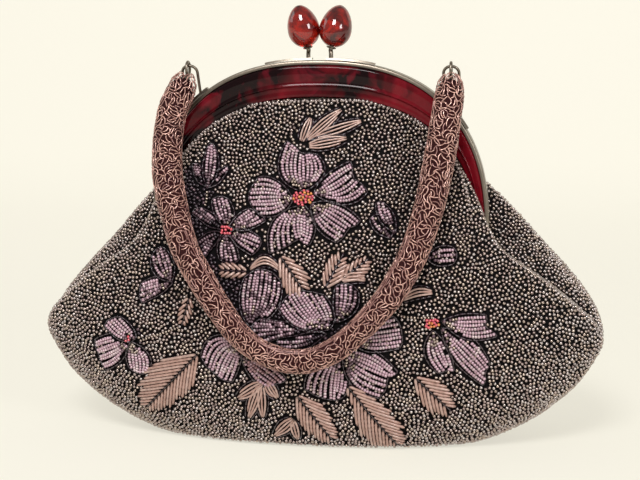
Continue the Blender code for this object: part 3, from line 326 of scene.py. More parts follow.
# Leaves: way of laying, foot, tip, bend, widths from foot to tip on the left, and on the right where they differ
LEAVES = (
    ("rib", (-53.1, 45.4), (-80.8, 16.5), 0, (3.8, 9.6, 8, 7, 2.6), (3.8, 10.5, 11.8, 9.6, 4.5)),
    ("rib", (-4.8, 28), (10.7, 5.4), 0, (3.8, 8, 6.4, 5.7, 2.6), (3.8, 7, 7, 6.1, 3.2)),
    ("rib", (19.1, 33.2), (41.2, 3.1), 0, (1.9, 5.7, 7.7, 8, 3.8), (1.3, 3.8, 9.6, 9.6, 7)),
    ("rib", (50.1, 38.2), (66.3, 21.8), 0, (2.2, 5.8, 6.9, 5.1, 2.2), (1.5, 4.4, 6.9, 6.2, 2.9)),
    ("rib", (-14, 92.1), (-1.9, 76), 0, (1.3, 3.8, 5.4, 4.8, 1.9), (1.3, 4.5, 6.4, 6.4, 2.6)),
    ("rib", (7.7, 78.7), (15.7, 94.4), 0, (2.2, 3.8, 4.5, 3.8, 1.6), (2.6, 5.4, 5.1, 3.2, 1.3)),
    ("rib", (14.8, 82.1), (27.4, 92.2), 0, (1.9, 3.2, 2.9, 2.2, 1), (2.6, 4.5, 5.1, 3.8, 1.6)),
    ("long", (15.8, 82.2), (26.1, 82.4), 1.6, (1.3, 2.4, 2.4, 1.9, 0.6)),
    ("long", (-14.7, 86.8), (-28.3, 86.2), -3.8, (1.3, 1.9, 2.2, 1.9, 0.6)),
    ("rib", (-29.9, 84.8), (-43.8, 85.2), 0, (1, 2.6, 2.9, 2.6, 1.3), (1, 2.6, 3.2, 2.9, 1.6)),
    ("rib", (-57.4, 71.9), (-60.5, 59.1), 0, (1, 2.6, 2.9, 1.9, 1), (1, 2.2, 2.6, 2.2, 1)),
    ("long", (57.3, 77.4), (43.8, 74.2), -1.5, (0.9, 2, 2.3, 1.9, 0.9)),
    ("long", (-21.6, 33.5), (-33.6, 25.4), 0, (1.3, 2.9, 3.2, 2.6, 1)),
    ("long", (-22.6, 32.2), (-29, 15.4), 0, (1.3, 2.6, 2.9, 2.2, 0.8)),
    ("long", (-21.9, 32.2), (-22, 16.1), 0, (1.3, 2.4, 2.6, 2, 0.6)),
    ("long", (-19.3, 33.9), (-14.6, 26.3), 0, (1.3, 2.6, 2.9, 2.2, 0.8)),
    ("long", (-7.2, 15.8), (-17.1, 6.3), 0, (1.3, 2.9, 3.2, 2.2, 0.8)),
    ("long", (-7.6, 15), (-6, 4.8), 0, (1.3, 2.2, 2.4, 1.9, 0.6)),
    ("long", (-6.9, 144.8), (-3.1, 155.8), 0, (1, 2, 2.3, 1.9, 0.7)),
    ("long", (-4.4, 145.8), (11.6, 159.6), 0, (1, 2.7, 3.2, 2.5, 0.8), (1, 2.3, 2.7, 2, 0.8)),
    ("long", (-0.4, 147.1), (21.1, 154.5), 0, (1, 2.3, 2.5, 2, 0.7), (1, 2.3, 2.7, 2, 0.7)),
    ("long", (-3.4, 142.9), (14.6, 146.3), 0, (1.2, 2.7, 3, 2.4, 0.8)),
)
# Hearts of the flowers: centre, half sizes, and the bead colour between the coral ones
HEARTS = (
    ((-4.5, 119), 4.2, 3.0, "amber"),
    ((-40.7, 103.5), 2.4, 2.0, "coral"),
    ((57.3, 63.4), 2.9, 1.9, "amber"),
    ((-88.5, 51.3), 1.8, 1.6, "violet"),
)
TENDRILS = (
    ((-6.9, 144.8), (1.1, 149.5), (9.8, 152), (13.7, 152.6)),
    ((-81.2, 50.7), (-74.6, 53.3), (-66.9, 56.2), (-62.4, 57.9)),
    ((-73.3, 96.9), (-68.3, 91.8), (-65.3, 84.5), (-65.8, 79.2), (-61.6, 75.3), (-56, 71.2)),
    ((-94.7, 61.7), (-88, 58.9), (-81.2, 50.9)),
    ((2.2, 26.9), (5.9, 26.4), (12.3, 28.7), (18, 34.1)),
    ((57.3, 66), (51.6, 65.9), (44.6, 66.2)),
    ((48.5, 38.1), (46.4, 38.8), (42.9, 40.2)),
    ((-53.1, 45.4), (-49.7, 49), (-46.4, 51.7)),
    ((-51.2, 123.5), (-51.3, 116.4), (-53, 110.6)),
    ((38.5, 104.6), (38, 100.2), (35.1, 100.7), (32.9, 102.5)),
)
# Where the ground is worked in near-black beads: centre and half sizes
NIGHT_PATCHES = (
    ((-50, 100), 13, 16),
    ((-57, 122), 8, 12),
    ((-38, 74), 9, 14),
    ((-22, 60), 22, 9),
    ((9, 58), 14, 8),
    ((-86, 52), 6, 6),
)
# How far up a petal its foot reaches, and the share of each bead colour at the foot and in the rest
TONES = {
    "lav": (0.30, (("bronze", 0.45), ("violet", 0.40), ("lavender", 0.15)), (("lavender", 0.72), ("lilac", 0.28))),
    "mid": (0.34, (("violet", 0.75), ("bronze", 0.25)), (("lavender", 0.62), ("violet", 0.26), ("lilac", 0.12))),
    "dusk": (0.42, (("night", 0.85), ("violet", 0.15)), (("violet", 0.50), ("lavender", 0.34), ("lilac", 0.16))),
    "dark": (0.40, (("night", 0.80), ("violet", 0.20)), (("violet", 0.66), ("lavender", 0.22), ("night", 0.12))),
    "rose": (0.2, (("bronze", 0.5), ("violet", 0.5)), (("lavender", 0.50), ("blush", 0.50))),
}
# Lamps: place, size in metres and power in watts
LAMPS = {
    "ceiling": ((-0.10, -0.85, 0.90), 0.38, 9.2),
    "window": ((0.80, -0.75, 0.45), 0.30, 3.8),
    "far_wall": ((-0.9, 0.0, 0.6), 0.5, 1.15),
}
LAMP_AIM = (0, 0, 0.09)
# Camera: the point it looks at, its turn and rise about it, distance in metres and lens in millimetres
CAMERA_AIM = (0.00165, -0.010, 0.0975)
CAMERA_TURN = math.radians(8.3)
CAMERA_RISE = math.radians(8.3)
CAMERA_DISTANCE = 0.640
CAMERA_LENS = 74.9


def linear(code):
    """Linear RGBA of an sRGB hex colour."""
    parts = [int(code[i : i + 2], 16) / 255 for i in (1, 3, 5)]
    return (*[p / 12.92 if p <= 0.04045 else ((p + 0.055) / 1.055) ** 2.4 for p in parts], 1.0)


def length_setting(name, description, millimetres):
    return FloatProperty(name=name, description=description, default=millimetres * MM, unit="LENGTH")


def colour_setting(name, description, code):
    return FloatVectorProperty(name=name, description=description, subtype="COLOR", size=4, default=linear(code))


class BagSizes(bpy.types.PropertyGroup):
    """Sizes of the beadwork and the handle's strands."""

    ground_spacing: length_setting("Ground spacing", "Least distance between ground beads", 1.44)
    ground_radius: length_setting("Ground bead radius", "Radius of the seed beads", 0.89)
    petal_radius: length_setting("Petal bead radius", "Radius of the beads in the petals", 0.84)
    petal_row: length_setting("Petal row spacing", "Distance between the rows of a petal", 1.86)
    leaf_row: length_setting("Leaf row spacing", "Distance between the strands of a leaf", 1.9)
    strand_radius: length_setting("Handle strand radius", "Radius of the handle's bead strands", 0.275)
    strand_spacing: length_setting("Handle strand spacing", "Least distance between two strands", 0.98)


class BagColours(bpy.types.PropertyGroup):
    """Colours of the bag's finishes."""

    seed: colour_setting("Seed beads", "Plum glass of the ground", "#C4B1AB")
    petal: colour_setting("Petals", "Lavender glass", "#D8B6C3")
    leaf: colour_setting("Leaves", "Pink-beige rope", "#C09B8F")
    heart: colour_setting("Flower hearts", "Coral glass", "#E8646A")
    strand: colour_setting("Handle strands", "Rose beads", "#ECBBAB")
    resin: colour_setting("Frame resin", "Dark red marbled resin", "#6C0E19")
    knob: colour_setting("Knob resin", "Clear amber red resin", "#BE2312")
    satin: colour_setting("Lining", "Plum satin", "#7A4A5E")


# Materials


def add_node(tree, kind, settings=None, links=None):
    """Adds a node, sets its options and socket values by name or number, and links its inputs."""
    made = tree.nodes.new("ShaderNode" + kind)
    for key, value in (settings or {}).items():
        if isinstance(key, int) or key in made.inputs:
            made.inputs[key].default_value = value
        else:
            setattr(made, key, value)
    for key, source in (links or {}).items():
        tree.links.new(source, made.inputs[key])
    return made


class Finish:
    """A material, the Principled shader that holds its values, and the short chains of nodes that vary it."""

    def __init__(self, name, **values):
        self.material = bpy.data.materials.new(name)
        self.material.use_nodes = True
        self.tree = self.material.node_tree
        self.shader = self.tree.nodes["Principled BSDF"]
        for key, value in values.items():
            self.shader.inputs[key.replace("_", " ")].default_value = value
        self.place = self.add("TexCoord").outputs["Object"]

    def add(self, kind, settings=None, links=None):
        return add_node(self.tree, kind, settings, links)

    def noise(self, scale, detail, vector=None, **settings):
        """Noise over the object, with cells of about a metre divided by the scale."""
        values = {"Scale": scale, "Detail": detail, **settings}
        return self.add("TexNoise", values, {"Vector": self.place if vector is None else vector})

    def spread(self, source, low=0.0, high=1.0, to=(0.0, 1.0)):
        """Widens what lies between low and high to a new range."""
        values = {"From Min": low, "From Max": high, "To Min": to[0], "To Max": to[1]}
        return self.add("MapRange", values, {"Value": source}).outputs["Result"]

    def arithmetic(self, operation, *sources):
        """Arithmetic on sources, of which a number is a fixed value."""
        fixed = {k: v for k, v in enumerate(sources) if isinstance(v, float)}
        linked = {k: v for k, v in enumerate(sources) if not isinstance(v, float)}
        return self.add("Math", {"operation": operation, **fixed}, linked).outputs["Value"]

    def tint(self, share, dark, light):
        """Colours the shader from dark to light by a share."""
        made = self.add("Mix", {"data_type": "RGBA", 6: dark, 7: light}, {0: share})
        self.link(made.outputs[2], "Base Color")

    def bump(self, height, strength, distance):
        made = self.add("Bump", {"Strength": strength, "Distance": distance}, {"Height": height})
        self.link(made.outputs["Normal"], "Normal")

    def link(self, source, name):
        self.tree.links.new(source, self.shader.inputs[name])


def glass_beads(name, light, dark, roughness, metallic=0.0):
    """Pressed glass seed beads: each bead takes its own depth of colour, and the coat gives each a hard light."""
    made = Finish(name, Roughness=roughness, Metallic=metallic, IOR=1.6, Coat_Weight=0.6, Coat_Roughness=0.12)
    # A cell of the noise is about one bead, 2.4 mm
    cell = made.noise(420.0, 1.0)
    made.tint(made.spread(cell.outputs["Fac"], 0.2, 0.8), dark, light)
    return made.material


@functools.cache
def nickel():
    """Nickel-plated sheet, polished, with faint rubbing marks along it."""
    made = Finish("polished_nickel", Metallic=1.0, Base_Color=linear("#857B6F"))
    stretch = made.add("Mapping", {"Scale": (60.0, 900.0, 60.0)}, {"Vector": made.place})
    marks = made.noise(3.0, 5.0, stretch.outputs["Vector"]).outputs["Fac"]
    made.link(made.spread(marks, to=(0.26, 0.42)), "Roughness")
    made.bump(marks, 0.05, 0.0002)
    return made.material


def marbled_resin(light):
    """Moulded polyester resin: red cloud veins through near-black, under a polished skin."""
    made = Finish(
        "marbled_red_resin",
        Roughness=0.2,
        IOR=1.5,
        Specular_IOR_Level=0.06,
        Specular_Tint=linear("#B03040"),
        Coat_Weight=0.36,
        Coat_Roughness=0.02,
    )
    drift = made.noise(38.0, 3.0).outputs["Color"]
    push = made.add("VectorMath", {"operation": "SCALE", "Scale": 0.035}, {0: drift}).outputs["Vector"]
    moved = made.add("VectorMath", {"operation": "ADD"}, {0: made.place, 1: push}).outputs["Vector"]
    # Clouds of about 15 mm, with soft veins of 5 mm in them
    cloud = made.noise(50.0, 2.0, moved, Roughness=0.5).outputs["Fac"]
    vein = made.noise(150.0, 2.0, moved).outputs["Fac"]
    # Painted light and shade: the resin is darkened towards its left end and lit redder towards its right end, where
    # light falls through it
    along = made.add("SeparateXYZ", links={"Vector": made.place}).outputs["X"]
    depth = made.spread(made.arithmetic("MULTIPLY_ADD", along, 2.2, cloud), 0.40, 0.62)
    bright = made.spread(vein, 0.56, 0.72, (0.0, 0.35))
    dark = made.add("Mix", {"data_type": "RGBA", 6: linear("#100305"), 7: light}, {0: depth}).outputs[2]
    full = made.add("Mix", {"data_type": "RGBA", 7: linear("#86182A")}, {0: bright, 6: dark})
    made.link(full.outputs[2], "Base Color")
    return made.material


def clear_resin(light):
    """Cast clear resin in amber red: light passes through, with darker streaks inside."""
    made = Finish(
        "clear_amber_resin", Roughness=0.05, IOR=1.54, Transmission_Weight=0.5, Coat_Weight=0.4, Coat_Roughness=0.02
    )
    streak = made.noise(130.0, 4.0, Distortion=1.4)
    made.tint(made.spread(streak.outputs["Fac"], 0.38, 0.66), linear("#4A0608"), light)
    return made.material


def woven_cloth(name, light, dark, thread=0.45 * MM):
    """Plain woven cloth: threads cross at a real spacing, and rise a little where they pass over."""
    made = Finish(name, Roughness=0.9, Specular_IOR_Level=0.15, Sheen_Weight=0.05, Sheen_Roughness=0.4)
    across, along = (
        made.add("TexWave", {"Scale": 0.16 / thread, "bands_direction": way}, {"Vector": made.place}).outputs["Fac"]
        for way in "XZ"
    )
    weave = made.arithmetic("MULTIPLY", across, along)
    made.tint(weave, dark, light)
    made.bump(weave, 0.5, 0.0002)
    return made.material


def satin(light):
    """Acetate satin: a smooth face with long soft lights across fine folds, and painted shade in the hollows of the
    folds.
    """
    made = Finish("plum_satin", Roughness=0.38, Anisotropic=0.5, Sheen_Weight=0.25, Sheen_Roughness=0.3)
    folds = made.noise(45.0, 4.0).outputs["Fac"]
    # Painted shade: the colour darkens in the hollows of the folds and lightens on their crests
    made.tint(folds, linear("#522C3C"), light)
    made.bump(folds, 0.35, 0.0008)
    return made.material


def paper():
    """Pale paper sweep: the camera sees its own cream, and the shadow of the bag on it."""
    made = Finish("cream_paper", Roughness=0.9, Base_Color=linear("#F3F0E4"))
    ray = made.add("LightPath")
    seen = made.arithmetic("MAXIMUM", ray.outputs["Is Camera Ray"], ray.outputs["Is Glossy Ray"])
    share = made.arithmetic("MULTIPLY", made.arithmetic("MAXIMUM", seen, ray.outputs["Is Transmission Ray"]), 0.62)
    # Painted light: the paper's glow grows from front to back, so the sweep is lighter towards the back
    depth = made.add("SeparateXYZ", links={"Vector": made.place}).outputs["Y"]
    strength = made.spread(depth, -0.15, 1.1, (0.96, 1.24))
    glow = made.add("Emission", {"Color": linear("#FFFBEC")}, {"Strength": strength})
    both = made.add("MixShader", links={0: share, 1: made.shader.outputs[0], 2: glow.outputs[0]})
    made.tree.links.new(both.outputs[0], made.tree.nodes["Material Output"].inputs["Surface"])
    return made.material


@functools.cache
def bead_finishes():
    """The bead colours of the bag by name."""
    colours = bpy.context.scene.bag_colours
    seed, petal, heart = tuple(colours.seed), tuple(colours.petal), tuple(colours.heart)
    rows = {
        "plum": ("plum_lustre_glass", seed, "#7B6864", 0.24, 0.85),
        "bronze": ("bronze_lustre_glass", "#CDBBAE", "#85746B", 0.24, 0.85),
        "silver": ("grey_lilac_lustre_glass", "#D2C6C2", "#938784", 0.26, 0.85),
        "night": ("night_violet_glass", "#4A3844", "#1C1219", 0.18, 0.4),
        "lavender": ("lavender_glass", petal, "#A3828D", 0.26, 0.3),
        "lilac": ("pale_lilac_glass", "#D9C3C6", "#B49BA2", 0.26, 0.3),
        "violet": ("violet_glass", "#7D6069", "#49343E", 0.24, 0.3),
        "blush": ("blush_glass", "#C49AA0", "#946A70", 0.3, 0.2),
        "coral": ("coral_glass", heart, "#C04A60", 0.2),
        "amber": ("amber_glass", "#E8A058", "#C06434", 0.2),
        "edge": ("edge_line_glass", "#BDB0AA", "#7C6C6A", 0.22, 0.7),
    }
    return {
        kind: glass_beads(name, linear(light) if isinstance(light, str) else light, linear(dark), *rest)
        for kind, (name, light, dark, *rest) in rows.items()
    }


# Meshes


def band_faces(rows, count, closed=False):
    """Quads between rows of points; closed joins each row's last point to its first."""
    columns = count if closed else count - 1
    k, j = np.meshgrid(np.arange(rows - 1), np.arange(columns), indexing="ij")
    after = (j + 1) % count
    quads = np.stack([k * count + j, k * count + after, (k + 1) * count + after, (k + 1) * count + j], -1)
    return quads.reshape(-1, 4).tolist()


def lofted(rings):
    """Points and faces of a closed solid through rings, with flat ends."""
    rings = np.asarray(rings, float)
    rows, count = rings.shape[:2]
    faces = band_faces(rows, count, closed=True)
    faces += [list(range(count)), list(range((rows - 1) * count, rows * count))]
    return rings.reshape(-1, 3), faces


def merged(shapes):
    """Shapes joined into one, in their order."""
    points, faces, start = [], [], 0
    for p, f in shapes:
        points.append(np.asarray(p, float).reshape(-1, 3))
        faces += [[i + start for i in face] for face in f]
        start += len(points[-1])
    return np.concatenate(points), faces


def units(vectors):
    vectors = np.asarray(vectors, float)
    return vectors / np.maximum(np.linalg.norm(vectors, axis=-1, keepdims=True), 1e-12)


def tube(path, radii, sides):
    """Round tube along a path, carried along it without twist."""
    path = np.asarray(path, float)
    radii = np.broadcast_to(np.asarray(radii, float), (len(path),))
    along = units(np.gradient(path, axis=0))
    side = np.cross(along[0], (0.3, 0.5, 0.81))
    turns = np.arange(sides) * math.tau / sides
    rings = []
    for point, direction, radius in zip(path, along, radii):
        side = side - direction * side.dot(direction)
        side /= max(np.linalg.norm(side), 1e-12)
        other = np.cross(direction, side)
        rings.append(point + radius * (np.cos(turns)[:, None] * side + np.sin(turns)[:, None] * other))
    return lofted(rings)


def turned(profile, foot, axis, sides):
    """Turns (radius, height) points about an axis, with closed ends."""
    axis = units(axis)
    side = units(np.cross(axis, (0.2, 0.9, 0.1)))
    other = np.cross(axis, side)
    turns = np.arange(sides) * math.tau / sides
    out = np.cos(turns)[:, None] * side + np.sin(turns)[:, None] * other
    return lofted([np.asarray(foot) + axis * h + out * max(r, 1e-6) for r, h in profile])


def piece(name, shape, look, body, replaces=(), sharp=None, bevel=0.0, blend=None, outward=True):
    """Puts points and faces on an object that rides on a body, or, given a blend, is left unparented with its
    transform applied.
    """
    points, faces = shape
    mesh = bpy.data.meshes.new(name)
    mesh.from_pydata(np.asarray(points).tolist(), [], faces)
    if outward:
        work = bmesh.new()
        work.from_mesh(mesh)
        bmesh.ops.recalc_face_normals(work, faces=work.faces)
        work.to_mesh(mesh)
        work.free()
    mesh.materials.append(look)
    mesh.shade_smooth()
    if sharp:
        mesh.set_sharp_from_angle(angle=math.radians(sharp))
    made = bpy.data.objects.new(name, mesh)
    bpy.context.scene.collection.objects.link(made)
    if bevel:
        rounding = made.modifiers.new("Rounded edges", "BEVEL")
        rounding.width = bevel
        rounding.segments = 2
        rounding.limit_method = "ANGLE"
        rounding.angle_limit = math.radians(40)
    if blend:
        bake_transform(made)
    else:
        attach(made, body)
    if replaces:
        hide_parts(*replaces)
    return made


def beads(name, shape, look, body="bag", replaces=(), blend=None):
    """A piece of many small closed shapes, all of which already face outward."""
    piece(name, shape, look, body, replaces, blend=blend, outward=False)


@functools.cache
def bead_shape(sides):
    """Unit seed bead: a barrel with its thread along X. Its points, end triangles and wall quads."""
    turns = [math.tau * j / sides for j in range(sides)]
    points = [(0.80, 0, 0)]
    for x, radius in ((0.62, 0.80), (0.0, 1.0), (-0.62, 0.80)):
        points += [(x, radius * math.cos(turn), radius * math.sin(turn)) for turn in turns]
    points.append((-0.80, 0, 0))
    last = len(points) - 1
    ends, walls = [], []
    for j in range(sides):
        after = (j + 1) % sides
        ends += [(0, 1 + j, 1 + after), (last, last - sides + after, last - sides + j)]
    for low in (1, 1 + sides):
        for j in range(sides):
            after = (j + 1) % sides
            walls.append((low + j, low + sides + j, low + sides + after, low + after))
    return np.array(points), np.array(ends), np.array(walls)


def strung(centres, along, out, radii, sides=7):
    """One mesh of beads: centres, thread directions, outward directions and radii."""
    template, ends, walls = bead_shape(sides)
    centres = np.asarray(centres, float)
    along = units(along)
    out = units(np.asarray(out, float) - along * np.sum(np.asarray(out) * along, axis=1, keepdims=True))
    side = np.cross(out, along)
    radii = np.broadcast_to(np.asarray(radii, float), (len(centres),))[:, None, None]
    axes = np.stack([along, side, out], axis=1)
    points = centres[:, None, :] + radii * np.einsum("pk,nkc->npc", template, axes)
    shift = np.arange(len(centres))[:, None, None] * len(template)
    faces = (ends[None] + shift).reshape(-1, 3).tolist() + (walls[None] + shift).reshape(-1, 4).tolist()
    return points.reshape(-1, 3), faces


# Frame arch


def arch(half_width, rise, power, angles):
    """Points of a superellipse that stands on the hinge axis."""
    cos, sin = np.cos(angles), np.sin(angles)
    across = np.sign(cos) * np.abs(cos) ** (2 / power)
    return np.stack([half_width * across, 0 * angles, HINGE_Z + rise * np.clip(sin, 0, 1) ** (2 / power)], -1)


def outer_arch(angles):
    return arch(FRAME_HALF_WIDTH, FRAME_RISE, FRAME_POWER, np.asarray(angles, float))


def opening_arch(angles):
    return arch(OPENING_HALF_WIDTH, OPENING_RISE, OPENING_POWER, np.asarray(angles, float))


def inward(line, angles):
    """Unit directions into the arch, square to its line."""
    angles = np.asarray(angles, float)
    ahead = line(np.minimum(angles + 0.008, math.pi)) - line(np.maximum(angles - 0.008, 0))
    turned_in = units(np.stack([-ahead[..., 2], 0 * angles, ahead[..., 0]], -1))
    centre = np.array((0, 0, HINGE_Z)) - line(angles)
    return turned_in * np.sign(np.sum(turned_in * centre, -1))[..., None]


def angles_from(height):
    """Even angles over the arch, from a height above the hinge on one side to the same height on the other."""
    low = math.asin((height / FRAME_RISE) ** (FRAME_POWER / 2))
    return np.linspace(low, math.pi - low, ARCH_STEPS + 1)


def angle_at(width):
    """Angle at which the arch is so far from the middle."""
    return np.arccos(np.clip(np.asarray(width) / FRAME_HALF_WIDTH, 0, 1) ** (FRAME_POWER / 2))


def shifted(points, y):
    """A copy of the points, moved along Y."""
    moved = np.array(points, float)
    moved[..., 1] += y
    return moved


def rim_shape(side):
    """Folded channel of nickel sheet along the arch."""
    corner = 0.00026
    profile = (
        (0, RIM_DEPTH - SHEET),
        (corner, RIM_DEPTH - corner),
        (SHEET, RIM_DEPTH),
        (RIM_WIDTH, RIM_DEPTH),
        (RIM_WIDTH, RIM_DEPTH - SHEET),
        (SHEET, RIM_DEPTH - SHEET),
        (SHEET, HALF_SEAM + SHEET),
        (RIM_WIDTH, HALF_SEAM + SHEET),
        (RIM_WIDTH, HALF_SEAM),
        (0, HALF_SEAM),
    )
    angles = angles_from(0.0054)
    start, into = outer_arch(angles), inward(outer_arch, angles)
    return lofted(np.stack([shifted(start + into * n, side * y) for n, y in profile], 1))


def lug_shape(side, mirror):
    """Flat eye about the hinge axis, with a neck into the rim."""
    # The front lugs lie outside the rear ones
    high = 0.08195 if side < 0 else 0.08055
    turns = np.radians(np.linspace(-5, -275, 30))
    outline = [(0.0006, 0.012), (0.00635, 0.012), (0.00635, 0.0054)]
    outline += [(EYE_RADIUS * math.cos(t), EYE_RADIUS * math.sin(t)) for t in turns]
    rings = [[(mirror * x, side * y, HINGE_Z + z) for y, z in outline] for x in (high - 0.0011, high)]
    return lofted(rings)


def resin_shape(side):
    """Crescent facing with its two-step moulding and the tongue that sits in the rim."""
    angles = angles_from(0.0070 if side < 0 else 0.0128)
    outer, into = outer_arch(angles), inward(outer_arch, angles)
    start = outer + into * (RIM_WIDTH + FIT_GAP)
    end = opening_arch(angles)
    tongue = outer + into * (RIM_WIDTH - 0.0014)
    front = RIM_DEPTH - SHEET - FIT_GAP
    columns = [shifted(tongue, side * 0.0015), shifted(tongue, side * front), shifted(start, side * front)]
    for across, height in MOULDING:
        depth = RESIN_EDGE + (RESIN_CREST - RESIN_EDGE) * height
        columns.append(shifted(start + (end - start) * across, side * depth))
    columns.append(shifted(end, side * (RESIN_EDGE - 0.0008)))
    columns.append(shifted(end, side * 0.0015))
    return lofted(np.stack(columns, 1))


def plate_shape(side):
    """Thin metal plate behind the resin."""
    angles = angles_from(0.0070)
    outer = outer_arch(angles) + inward(outer_arch, angles) * (RIM_WIDTH + FIT_GAP)
    inner = opening_arch(angles) + inward(opening_arch, angles) * 0.005
    columns = ((outer, 0.0004), (outer, 0.0012), (inner, 0.0012), (inner, 0.0004))
    return lofted(np.stack([shifted(p, side * y) for p, y in columns], 1))


def rivet_shape(mirror):
    """Rivet with a domed head on each side of the lugs."""
    run = RIVET_OUTER - RIVET_INNER
    profile = ((0, 0), (0.0015, 0.0001), (0.0022, 0.0004), (0.0024, 0.0009), (SHANK_RADIUS, 0.0009))
    profile += ((SHANK_RADIUS, run + 0.0009), (0.0024, run + 0.0009))
    profile += ((0.0022, run + 0.0013), (0.0014, run + 0.0016), (0, run + 0.0018))
    return turned(profile, (mirror * (RIVET_INNER - 0.0009), 0, HINGE_Z), (mirror, 0, 0), 24)


def knob_axis(side):
    across, back = (math.tan(math.radians(lean)) for lean in KNOB_LEAN)
    return units((-side * across, -side * back, 1))


def knob_foot(side):
    return np.array(KNOB_FOOT) * (-side, side, 1)


def rim_strip(widths, half_depths, slope, top, mirror, side):
    """Plate with sloped edges that lies on the rim, through some places along it."""
    angles = angle_at(widths)
    base, out = outer_arch(angles), -inward(outer_arch, angles)
    under, over = base + out * FIT_GAP, base + out * top
    low, high = CLASP_DEPTH - half_depths, CLASP_DEPTH + half_depths
    corners = ((under, low), (over, low + slope), (over, high - slope), (under, high))
    return lofted(np.stack([np.stack([mirror * p[:, 0], side * y, p[:, 2]], -1) for p, y in corners], 1))


def clasp_shapes(side):
    """Strip along the top of the rim, and the bent stem with its collar."""
    outward = -side
    shares = np.linspace(0, 1, 25)
    strip = rim_strip(0.004 + 0.023 * shares, 0.0024 - 0.0012 * shares**3, 0.0003, STRIP_TOP, outward, side)
    foot, axis = knob_foot(side), knob_axis(side)
    top = outer_arch(angle_at(STEM_FOOT)) - inward(outer_arch, angle_at(STEM_FOOT)) * STRIP_TOP
    start = np.array((outward * STEM_FOOT, side * CLASP_DEPTH, top[2] - 0.00045))
    low = start + (0, 0, 0.00275)
    bend = foot - axis * 0.0019
    line = [start, low, low + (bend - low) * 0.6, bend, foot, foot + axis * 0.0057]
    collar = ((0, 0), (0.0017, 0), (0.0023, 0.0003), (0.0024, 0.0006), (0.0020, 0.0008), (0, 0.0008))
    return strip, tube(smooth(line, 5), STEM_RADIUS, 12), turned(collar, foot - axis * 0.0011, axis, 24)


def knob_shape(side):
    """Egg with a blind bore for its stem."""
    heights = np.linspace(0, 1, 40) ** 0.9
    rows = np.array(KNOB)
    highest = KNOB[-1][0]
    radii = np.interp(heights * highest, rows[:, 0], rows[:, 1])
    radii[1:-1] = np.convolve(radii, (0.25, 0.5, 0.25), "valid")
    profile = [(0, BORE_DEPTH), (BORE_RADIUS, BORE_DEPTH), (BORE_RADIUS, 0)]
    profile += [(KNOB_RADIUS * r, KNOB_HEIGHT * h * highest) for r, h in zip(radii, heights)]
    profile += [(0.0009, KNOB_HEIGHT - 0.00008), (0, KNOB_HEIGHT)]
    return turned(profile, knob_foot(side), knob_axis(side), 48)


# Pouch walls


def attach_width(height):
    """Half the width at which the cloth meets the resin, at a height above the hinge."""
    share = min(max(height / OPENING_RISE, 0), 1)
    return OPENING_HALF_WIDTH * (1 - share**OPENING_POWER) ** (1 / OPENING_POWER) - SEAT


def section(z, side):
    """Half a wall's section at height z: depth, width, lobe crest, inner edge (2) and seam edge (2)."""
    hinge_crest = OPENING_HALF_WIDTH + SHOULDER_BULGE
    hinge_edge = attach_width(0)

    def read(rows, place):
        table = np.array(rows)
        return [float(np.interp(place, table[:, 0], table[:, c])) for c in range(1, table.shape[1])]

    def between(low, high, share):
        return low + (high - low) * share

    if z <= TIP_Z:
        across, forward = read(BELLY, z / TIP_Z)
        width = between(BASE_HALF_LENGTH, POUCH_HALF_WIDTH, across)
        depth = between(BASE_HALF_DEPTH, POUCH_HALF_DEPTH, forward)
        crest = FOLD_EDGE * between(2, 2.5, z / TIP_Z)
        return depth, width, crest, width, FOLD_EDGE, width, HALF_SEAM
    if z <= HINGE_Z:
        place = (z - TIP_Z) / (HINGE_Z - TIP_Z)
        wide, fold, deep, lobe = read(WAIST, place)
        width = between(hinge_crest, POUCH_HALF_WIDTH, wide)
        edge = between(hinge_edge, POUCH_HALF_WIDTH, fold)
        depth = between(HINGE_HALF_DEPTH, POUCH_HALF_DEPTH, deep)
        free = min(max((place - 0.80) / 0.09, 0), 1)
        inner_x = edge + LOBE_CLEARANCE
        inner_y = between(FOLD_EDGE, RESIN_CREST + LOBE_CLEARANCE, free)
        width = max(width, inner_x)
        if side < 0:
            width = between(inner_x, width, FRONT_LOBE)
        return depth, width, SHOULDER_DEPTH * lobe, inner_x, inner_y, edge, HALF_SEAM
    height = z - HINGE_Z
    rear_out, deep, shoulder, front_out = read(SHOULDER, height / OPENING_RISE)
    edge = attach_width(height)
    bulge = SHOULDER_BULGE * (front_out if side < 0 else rear_out)
    depth = between(EDGE_FRONT, HINGE_HALF_DEPTH, deep)
    crest = between(EDGE_FRONT, SHOULDER_DEPTH, shoulder)
    lobe = min(bulge / (2 * LOBE_CLEARANCE), 1)
    inner_x = edge + (SEAT + LOBE_CLEARANCE) * lobe
    inner_y = between(crest - LOBE_CLEARANCE, min(RESIN_CREST + LOBE_CLEARANCE, crest - LOBE_CLEARANCE), lobe)
    width = max(edge + SEAT + bulge, inner_x) if bulge > 0 else edge
    return depth, width, crest, inner_x, inner_y, edge, between(HALF_SEAM, 0.0015, min(height / 0.0042, 1))


@functools.cache
def section_table(side):
    """Sections every half millimetre, eased over about 4 mm so that no band shows in the cloth."""
    heights = np.arange(0, TOP_Z + 1e-7, 0.0005)
    exact = np.array([section(z, side) for z in heights])
    reach = 24
    kernel = np.exp(-0.5 * (np.arange(-reach, reach + 1) / 8) ** 2)
    kernel /= kernel.sum()
    wide = np.pad(exact, ((reach, reach), (0, 0)), mode="edge")
    soft = np.stack([np.convolve(wide[:, c], kernel, "valid") for c in range(7)], 1)
    fade = np.clip(np.minimum(heights, TOP_Z - heights) / 0.008, 0, 1)[:, None]
    eased = exact + (soft - exact) * fade
    eased[:, 6] = exact[:, 6]
    seated = heights > HINGE_Z - 0.003
    eased[seated, 5] = exact[seated, 5]
    eased[:, 3] = np.maximum(eased[:, 3], eased[:, 5])
    eased[:, 1] = np.maximum(eased[:, 1], eased[:, 3])
    return heights, eased


def at_heights(side, zs, columns=range(7)):
    """Columns of the section table at some heights."""
    heights, table = section_table(side)
    return [np.interp(zs, heights, table[:, column]) for column in columns]


